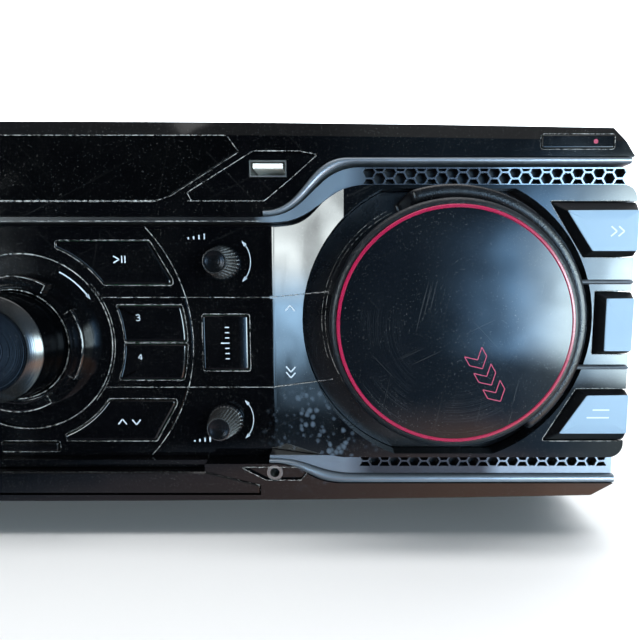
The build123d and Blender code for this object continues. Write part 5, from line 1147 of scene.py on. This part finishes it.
def wheel_marks(side, crown):
    """Three outlined chevrons in a slanting row, laid onto the crowned face of a wheel."""
    turn = math.radians(-60)
    along, across = (math.cos(turn), math.sin(turn)), (-math.sin(turn), math.cos(turn))
    made = []
    for shift in (0.0, 6.4, 12.8):
        shape = CHEVRON + (shift, 0.0)
        spun = shape[:, :1] * along + shape[:, 1:] * across + (side * WHEEL_X + 5.6, WHEEL_Z - 8.6)
        for ends in zip(spun[:-1], spun[1:]):
            line = np.linspace(*ends, 4)
            away = np.hypot(line[:, 0] - side * WHEEL_X, line[:, 1] - WHEEL_Z)
            reach = WHEEL_REACH - crown * (away / RING_INNER) ** 2
            ribbon = stroke(line, 0.3, 0.0)
            ribbon[..., 1] = np.maximum(ribbon[..., 1] - reach[:, None] / 1000, depth(WHEEL_REACH))
            made.append(ribbon)
    return made


def build_marks(settings):
    """Printed marks. Each is a flat ribbon of even or tapering width along a line on the front."""
    dress(merged("deck_marks", deck_marks()), "case", None, material="White Ink")
    for body, grids in key_marks().items():
        dress(merged(body.replace("_body", "_mark"), grids), body, None, material="White Ink")
    turn = np.linspace(0, 2 * np.pi, 20)
    rings = np.array([0.8, 0.01])
    dot = front(210.2 + np.outer(np.cos(turn), rings), RECORD_KEY[1] + np.outer(np.sin(turn), rings), 8.53)
    dress(surface("record_key_mark", dot), "record_key_body", None, material="Red Ink")
    for side, word in SIDES:
        made = merged(word + "_wheel_mark", wheel_marks(side, settings.crown))
        dress(made, word + "_dj_wheel", None, material="Red Ink")


# Stage


def area_light(name, place, target, size, power):
    """Rectangular soft white light aimed at a point."""
    data = bpy.data.lights.new(name, "AREA")
    data.shape = "RECTANGLE"
    data.size, data.size_y = size
    data.energy = power
    made = bpy.data.objects.new(name, data)
    bpy.context.scene.collection.objects.link(made)
    made.location = place
    made.rotation_euler = (Vector(target) - Vector(place)).to_track_quat("-Z", "Y").to_euler()
    return made


def studio_world(settings):
    """Dim room: soft light overhead and behind, a window to the left, sky to the right, a warm floor below.

    Each is a product of ramps over two angles in degrees: azimuth, to the right of straight out of the front, and
    height above level. Seen straight, the room is a plain pale backdrop.
    """
    world = bpy.data.worlds.new("Studio")
    world.use_nodes = True
    tree = world.node_tree
    way = add_node(tree, "ShaderNodeTexCoord").outputs["Generated"]
    parts = axes(tree, way)
    azimuth = math_node(tree, "DEGREES", math_node(tree, "ARCTAN2", parts["X"], times(tree, parts["Y"], -1.0)))
    height = math_node(tree, "DEGREES", math_node(tree, "ARCSINE", parts["Z"]))
    patchy = ramp(tree, noise(tree, way, 11.0, 3.0), 0.36, 0.64, 0.62, 1.22)
    tall = add_node(tree, "ShaderNodeMapping", {"Vector": way, "Scale": (30.0, 30.0, 5.0)}).outputs["Vector"]
    near = ramp(tree, azimuth, 5.0, 30.0)

    room = ramp(tree, azimuth, -6.0, 12.0, 0.01, 0.2)
    overhead = ramp(tree, height, 24.0, 55.0)
    sky = times(
        tree, near, near, near, patchy, ramp(tree, azimuth, 75.0, 38.0),
        ramp(tree, height, -11.5, -8.5, 0.05, 1.0), ramp(tree, height, 12.5, 6.5),
    )
    window = times(
        tree, patchy, ramp(tree, noise(tree, tall, 1.0, 2.0), 0.38, 0.46, 0.4, 1.0),
        ramp(tree, azimuth, -38.3, -39.6), ramp(tree, azimuth, -58.0, -49.0),
        ramp(tree, height, -2.0, -0.6, 0.8, 1.0), ramp(tree, height, -16.0, -7.5, 0.03, 1.0),
        ramp(tree, height, -13.0, -8.0, 0.5, 1.0), ramp(tree, height, 26.0, 12.0),
    )
    carpet = times(
        tree, ramp(tree, height, -18.5, -22.0), ramp(tree, height, -42.0, -28.0),
        ramp(tree, azimuth, -30.0, 15.0, 0.45, 0.9),
    )
    aside = math_node(tree, "ABSOLUTE", azimuth)
    behind = times(tree, ramp(tree, aside, 95.0, 125.0), ramp(tree, height, -25.0, 5.0))

    sky_color = blend(tree, ramp(tree, azimuth, 22.0, 31.0), (0.30, 0.60, 1.0), (0.74, 0.93, 1.0))
    window_color = blend(tree, ramp(tree, height, -3.0, 2.0), (0.42, 0.70, 1.0), (0.90, 0.99, 1.0))
    color = blend(tree, overhead, (0.35, 0.65, 1.0), (0.92, 0.97, 1.0))
    color = blend(tree, ramp(tree, sky, 0.0, 0.02), color, sky_color)
    color = blend(tree, ramp(tree, window, 0.0, 0.02), color, window_color)
    color = blend(tree, carpet, color, (1.0, 0.60, 0.42))
    color = blend(tree, behind, color, (0.95, 0.98, 1.0))
    amount = times(tree, room, settings.ambient)
    lights = (
        (overhead, settings.overhead), (sky, settings.right), (window, settings.left), (carpet, 1.0),
        (behind, settings.behind),
    )
    for share, strength in lights:
        amount = math_node(tree, "ADD", amount, times(tree, share, strength))
    seen = add_node(tree, "ShaderNodeLightPath").outputs["Is Camera Ray"]
    color = blend(tree, seen, color, (1.0, 1.0, 1.0))
    amount = math_node(tree, "ADD", times(tree, amount, math_node(tree, "SUBTRACT", 1.0, seen)), seen)
    tree.links.new(color, tree.nodes["Background"].inputs["Color"])
    tree.links.new(amount, tree.nodes["Background"].inputs["Strength"])
    return world


def build_stage(settings):
    """Floor and backdrop as one sheet that curves up behind, soft lights, and the camera of the photograph.

    The sheet's section is a level run, a quarter circle and an upright run.
    """
    turn = np.linspace(0, np.pi / 2, 12)
    level_end, bend = 1.2, 0.8
    y = np.concatenate([[-0.40, level_end], level_end + bend * np.sin(turn), [level_end + bend]])
    z = np.concatenate([[0.0, 0.0], bend - bend * np.cos(turn), [3.0]])
    x = np.linspace(-3.0, 3.0, 3)[:, None]
    sheet = np.stack(np.broadcast_arrays(x, y[None, :], z[None, :]), axis=-1)
    floor = surface("floor", sheet)
    material, tree, shader, place = new_material("Pale Floor")
    worn(tree, shader, place, (0.86, 0.86, 0.86), 0.8, 0.0, 0.0, height=0)
    floor.data.materials.append(material)
    floor.visible_glossy = False
    bpy.context.scene.world = studio_world(settings)
    bpy.context.scene.view_settings.view_transform = "Standard"
    heart = (0.12, -0.15, 0.085)
    lamps = [
        area_light("Backdrop Light", (0.0, 0.6, 1.6), (0.0, 2.0, 0.6), (3.0, 1.0), settings.backdrop),
        area_light("Top Light", (0.1, -0.1, 1.2), heart, (1.2, 0.8), settings.top),
        area_light("Floor Light", (0.1, -0.26, 1.0), (0.1, -0.2601, 0.0), (3.0, 0.2), settings.floor),
    ]
    lamps[0].visible_glossy = lamps[2].visible_glossy = False
    data = bpy.data.cameras.new("Camera")
    data.lens = 27.0
    data.sensor_width = 36.0
    data.shift_x = settings.shift_x
    data.shift_y = settings.shift_y
    data.clip_start = 0.01
    camera = bpy.data.objects.new("Camera", data)
    bpy.context.scene.collection.objects.link(camera)
    camera.location = (0.1225, -0.3319, 0.0976)
    camera.rotation_euler = (math.radians(90 - settings.pitch), 0.0, 0.0)
    bpy.context.scene.camera = camera


# Add-on


class StereoPieceSettings(bpy.types.PropertyGroup):
    rim: bpy.props.FloatProperty(
        name="Key Rim", description="Radius of the keys' rims in millimetres", default=0.8, min=0.2, max=1.0
    )
    # Width of the seam lines, which are dust and painted highlight on rounded edges
    dust_and_highlight_width: bpy.props.FloatProperty(
        name="Seam Dust And Highlights", description="Width of the dust in the seams, in millimetres", default=0.3, min=0.1, max=1.0
    )
    crown: bpy.props.FloatProperty(
        name="Wheel Crown", description="How far the wheel's face falls at its edge, in millimetres",
        default=0.9, min=0.0, max=2.0
    )


def color_setting(name, description, default):
    """Colour that a user can change."""
    return bpy.props.FloatVectorProperty(
        name=name, description=description, default=default, min=0.0, max=1.0, size=3, subtype="COLOR"
    )


class StereoFinishSettings(bpy.types.PropertyGroup):
    silver: color_setting("Silver", "Colour of the silver strips and ribs", (0.33, 0.37, 0.42))
    ring: color_setting("Ring", "Colour of the rings in the wheels", (0.30, 0.008, 0.045))
    # The side keys' colour is a painted reflection of the sky, laid on their flat faces
    side_key: color_setting("Side Keys", "Colour of the flat faces of the side keys", (0.24, 0.34, 0.45))
    ink: color_setting("Ink", "Colour of the printed marks on the keys and the deck", (0.55, 0.60, 0.66))
    dust: bpy.props.FloatProperty(
        name="Dust", description="Share of specks on glossy pieces", default=0.4, min=0.0, max=1.0, subtype="FACTOR"
    )
    scratches: bpy.props.FloatProperty(
        name="Scratches", description="Strength of hairline scratches",
        default=0.012, min=0.0, max=1.0, subtype="FACTOR"
    )


class StereoStageSettings(bpy.types.PropertyGroup):
    ambient: bpy.props.FloatProperty(name="Ambient", description="Strength of the dim room", default=1.0, min=0.0)
    overhead: bpy.props.FloatProperty(
        name="Overhead", description="Strength of the light overhead", default=0.14, min=0.0
    )
    floor: bpy.props.FloatProperty(
        name="Floor Light", description="Power of the light on the floor", default=14.0, min=0.0, unit="POWER"
    )
    behind: bpy.props.FloatProperty(
        name="Rear Light", description="Strength of the soft light from behind", default=0.9, min=0.0
    )
    backdrop: bpy.props.FloatProperty(
        name="Backdrop", description="Power of the backdrop light", default=120.0, min=0.0, unit="POWER"
    )
    top: bpy.props.FloatProperty(
        name="Top Light", description="Power of the overhead light", default=3.5, min=0.0, unit="POWER"
    )
    left: bpy.props.FloatProperty(
        name="Left Panel", description="Strength of the window to the left", default=16.0, min=0.0
    )
    right: bpy.props.FloatProperty(
        name="Right Panel", description="Strength of the sky to the right", default=25.0, min=0.0
    )
    pitch: bpy.props.FloatProperty(name="Pitch", description="Camera tilt below level in degrees", default=5.773)
    shift_x: bpy.props.FloatProperty(name="Shift X", description="Sideways camera shift", default=-0.0391)
    shift_y: bpy.props.FloatProperty(name="Shift Y", description="Upward camera shift", default=0.0102)


class STEREO_OT_finishes(bpy.types.Operator):
    """Makes the shader groups and materials and gives each part its finish"""

    bl_idname = "stereo.finishes"
    bl_label = "Make Finishes"

    def execute(self, context):
        for build in (dust_group, scratch_group, grain_group, turned_group, wear_group):
            build()
        SLOT_MATERIALS.update(make_materials(context.scene.stereo_finish))
        for entry in frame["record"]["subparts"]:
            node = frame["nodes"][entry["node"]]
            node.data.materials.clear()
            node.data.materials.append(SLOT_MATERIALS[entry["material_slot"]])
        return {"FINISHED"}


class STEREO_OT_deck_keys(bpy.types.Operator):
    """Builds the rounded keys of the deck and the fascia"""

    bl_idname = "stereo.deck_keys"
    bl_label = "Build Deck Keys"

    def execute(self, context):
        build_deck_keys(context.scene.stereo_pieces)
        return {"FINISHED"}


class STEREO_OT_side_keys(bpy.types.Operator):
    """Builds the side keys with their bevelled flanks"""

    bl_idname = "stereo.side_keys"
    bl_label = "Build Side Keys"

    def execute(self, context):
        build_side_keys()
        return {"FINISHED"}


class STEREO_OT_wheels(bpy.types.Operator):
    """Builds the crowned wheels with their red rings"""

    bl_idname = "stereo.wheels"
    bl_label = "Build Wheels"

    def execute(self, context):
        build_wheels(context.scene.stereo_pieces)
        return {"FINISHED"}


class STEREO_OT_surrounds(bpy.types.Operator):
    """Builds the wheel wells with their crescents and ribs"""

    bl_idname = "stereo.surrounds"
    bl_label = "Build Wheel Surrounds"

    def execute(self, context):
        build_surrounds()
        return {"FINISHED"}


class STEREO_OT_strips(bpy.types.Operator):
    """Builds the rounded silver strips"""

    bl_idname = "stereo.strips"
    bl_label = "Build Silver Strips"

    def execute(self, context):
        build_strips()
        return {"FINISHED"}


class STEREO_OT_creases(bpy.types.Operator):
    """Builds the fillets in the creases beside the deck"""

    bl_idname = "stereo.creases"
    bl_label = "Build Creases"

    def execute(self, context):
        build_creases()
        return {"FINISHED"}


class STEREO_OT_dial(bpy.types.Operator):
    """Builds the volume knob and its notched ring"""

    bl_idname = "stereo.dial"
    bl_label = "Build Volume Dial"

    def execute(self, context):
        build_dial()
        return {"FINISHED"}


class STEREO_OT_tuners(bpy.types.Operator):
    """Builds the four small fluted knobs"""

    bl_idname = "stereo.tuners"
    bl_label = "Build Small Knobs"

    def execute(self, context):
        build_tuners()
        return {"FINISHED"}


class STEREO_OT_marks(bpy.types.Operator):
    """Builds the printed marks"""

    bl_idname = "stereo.marks"
    bl_label = "Build Printed Marks"

    def execute(self, context):
        build_marks(context.scene.stereo_pieces)
        return {"FINISHED"}


class STEREO_OT_seam_dust_and_highlights(bpy.types.Operator):
    """Builds the dust that lies in the seams and the painted highlights on rounded edges"""

    bl_idname = "stereo.seam_dust"
    bl_label = "Build Seam Dust And Highlights"

    def execute(self, context):
        build_seam_dust_and_highlights(context.scene.stereo_pieces)
        return {"FINISHED"}


class STEREO_OT_stage(bpy.types.Operator):
    """Builds the floor, the lights and the camera"""

    bl_idname = "stereo.stage"
    bl_label = "Build Stage"

    def execute(self, context):
        build_stage(context.scene.stereo_stage)
        return {"FINISHED"}


class STEREO_PT_panel(bpy.types.Panel):
    """Panel with the settings and a button for each step"""

    bl_idname = "STEREO_PT_panel"
    bl_label = "Compact Stereo"
    bl_space_type = "VIEW_3D"
    bl_region_type = "UI"
    bl_category = "Stereo"

    def draw(self, context):
        for group in (context.scene.stereo_pieces, context.scene.stereo_finish, context.scene.stereo_stage):
            box = self.layout.box()
            for name in group.__annotations__:
                box.prop(group, name)
        for operator in OPERATORS:
            self.layout.operator(operator.bl_idname)


SETTINGS = {
    "stereo_pieces": StereoPieceSettings,
    "stereo_finish": StereoFinishSettings,
    "stereo_stage": StereoStageSettings,
}
OPERATORS = (
    STEREO_OT_finishes,
    STEREO_OT_deck_keys,
    STEREO_OT_side_keys,
    STEREO_OT_wheels,
    STEREO_OT_surrounds,
    STEREO_OT_strips,
    STEREO_OT_creases,
    STEREO_OT_dial,
    STEREO_OT_tuners,
    STEREO_OT_marks,
    STEREO_OT_seam_dust_and_highlights,
    STEREO_OT_stage,
)


def register():
    for kind in (*SETTINGS.values(), *OPERATORS, STEREO_PT_panel):
        bpy.utils.register_class(kind)
    for name, kind in SETTINGS.items():
        setattr(bpy.types.Scene, name, bpy.props.PointerProperty(type=kind))


def unregister():
    for name in SETTINGS:
        delattr(bpy.types.Scene, name)
    for kind in (STEREO_PT_panel, *reversed(OPERATORS), *SETTINGS.values()):
        bpy.utils.unregister_class(kind)


def main():
    register()
    for operator in OPERATORS:
        module, name = operator.bl_idname.split(".")
        result = getattr(getattr(bpy.ops, module), name)()
        if result != {"FINISHED"}:
            raise RuntimeError(f"{operator.bl_idname} gave {result}")


if __name__ == "__main__":
    main()
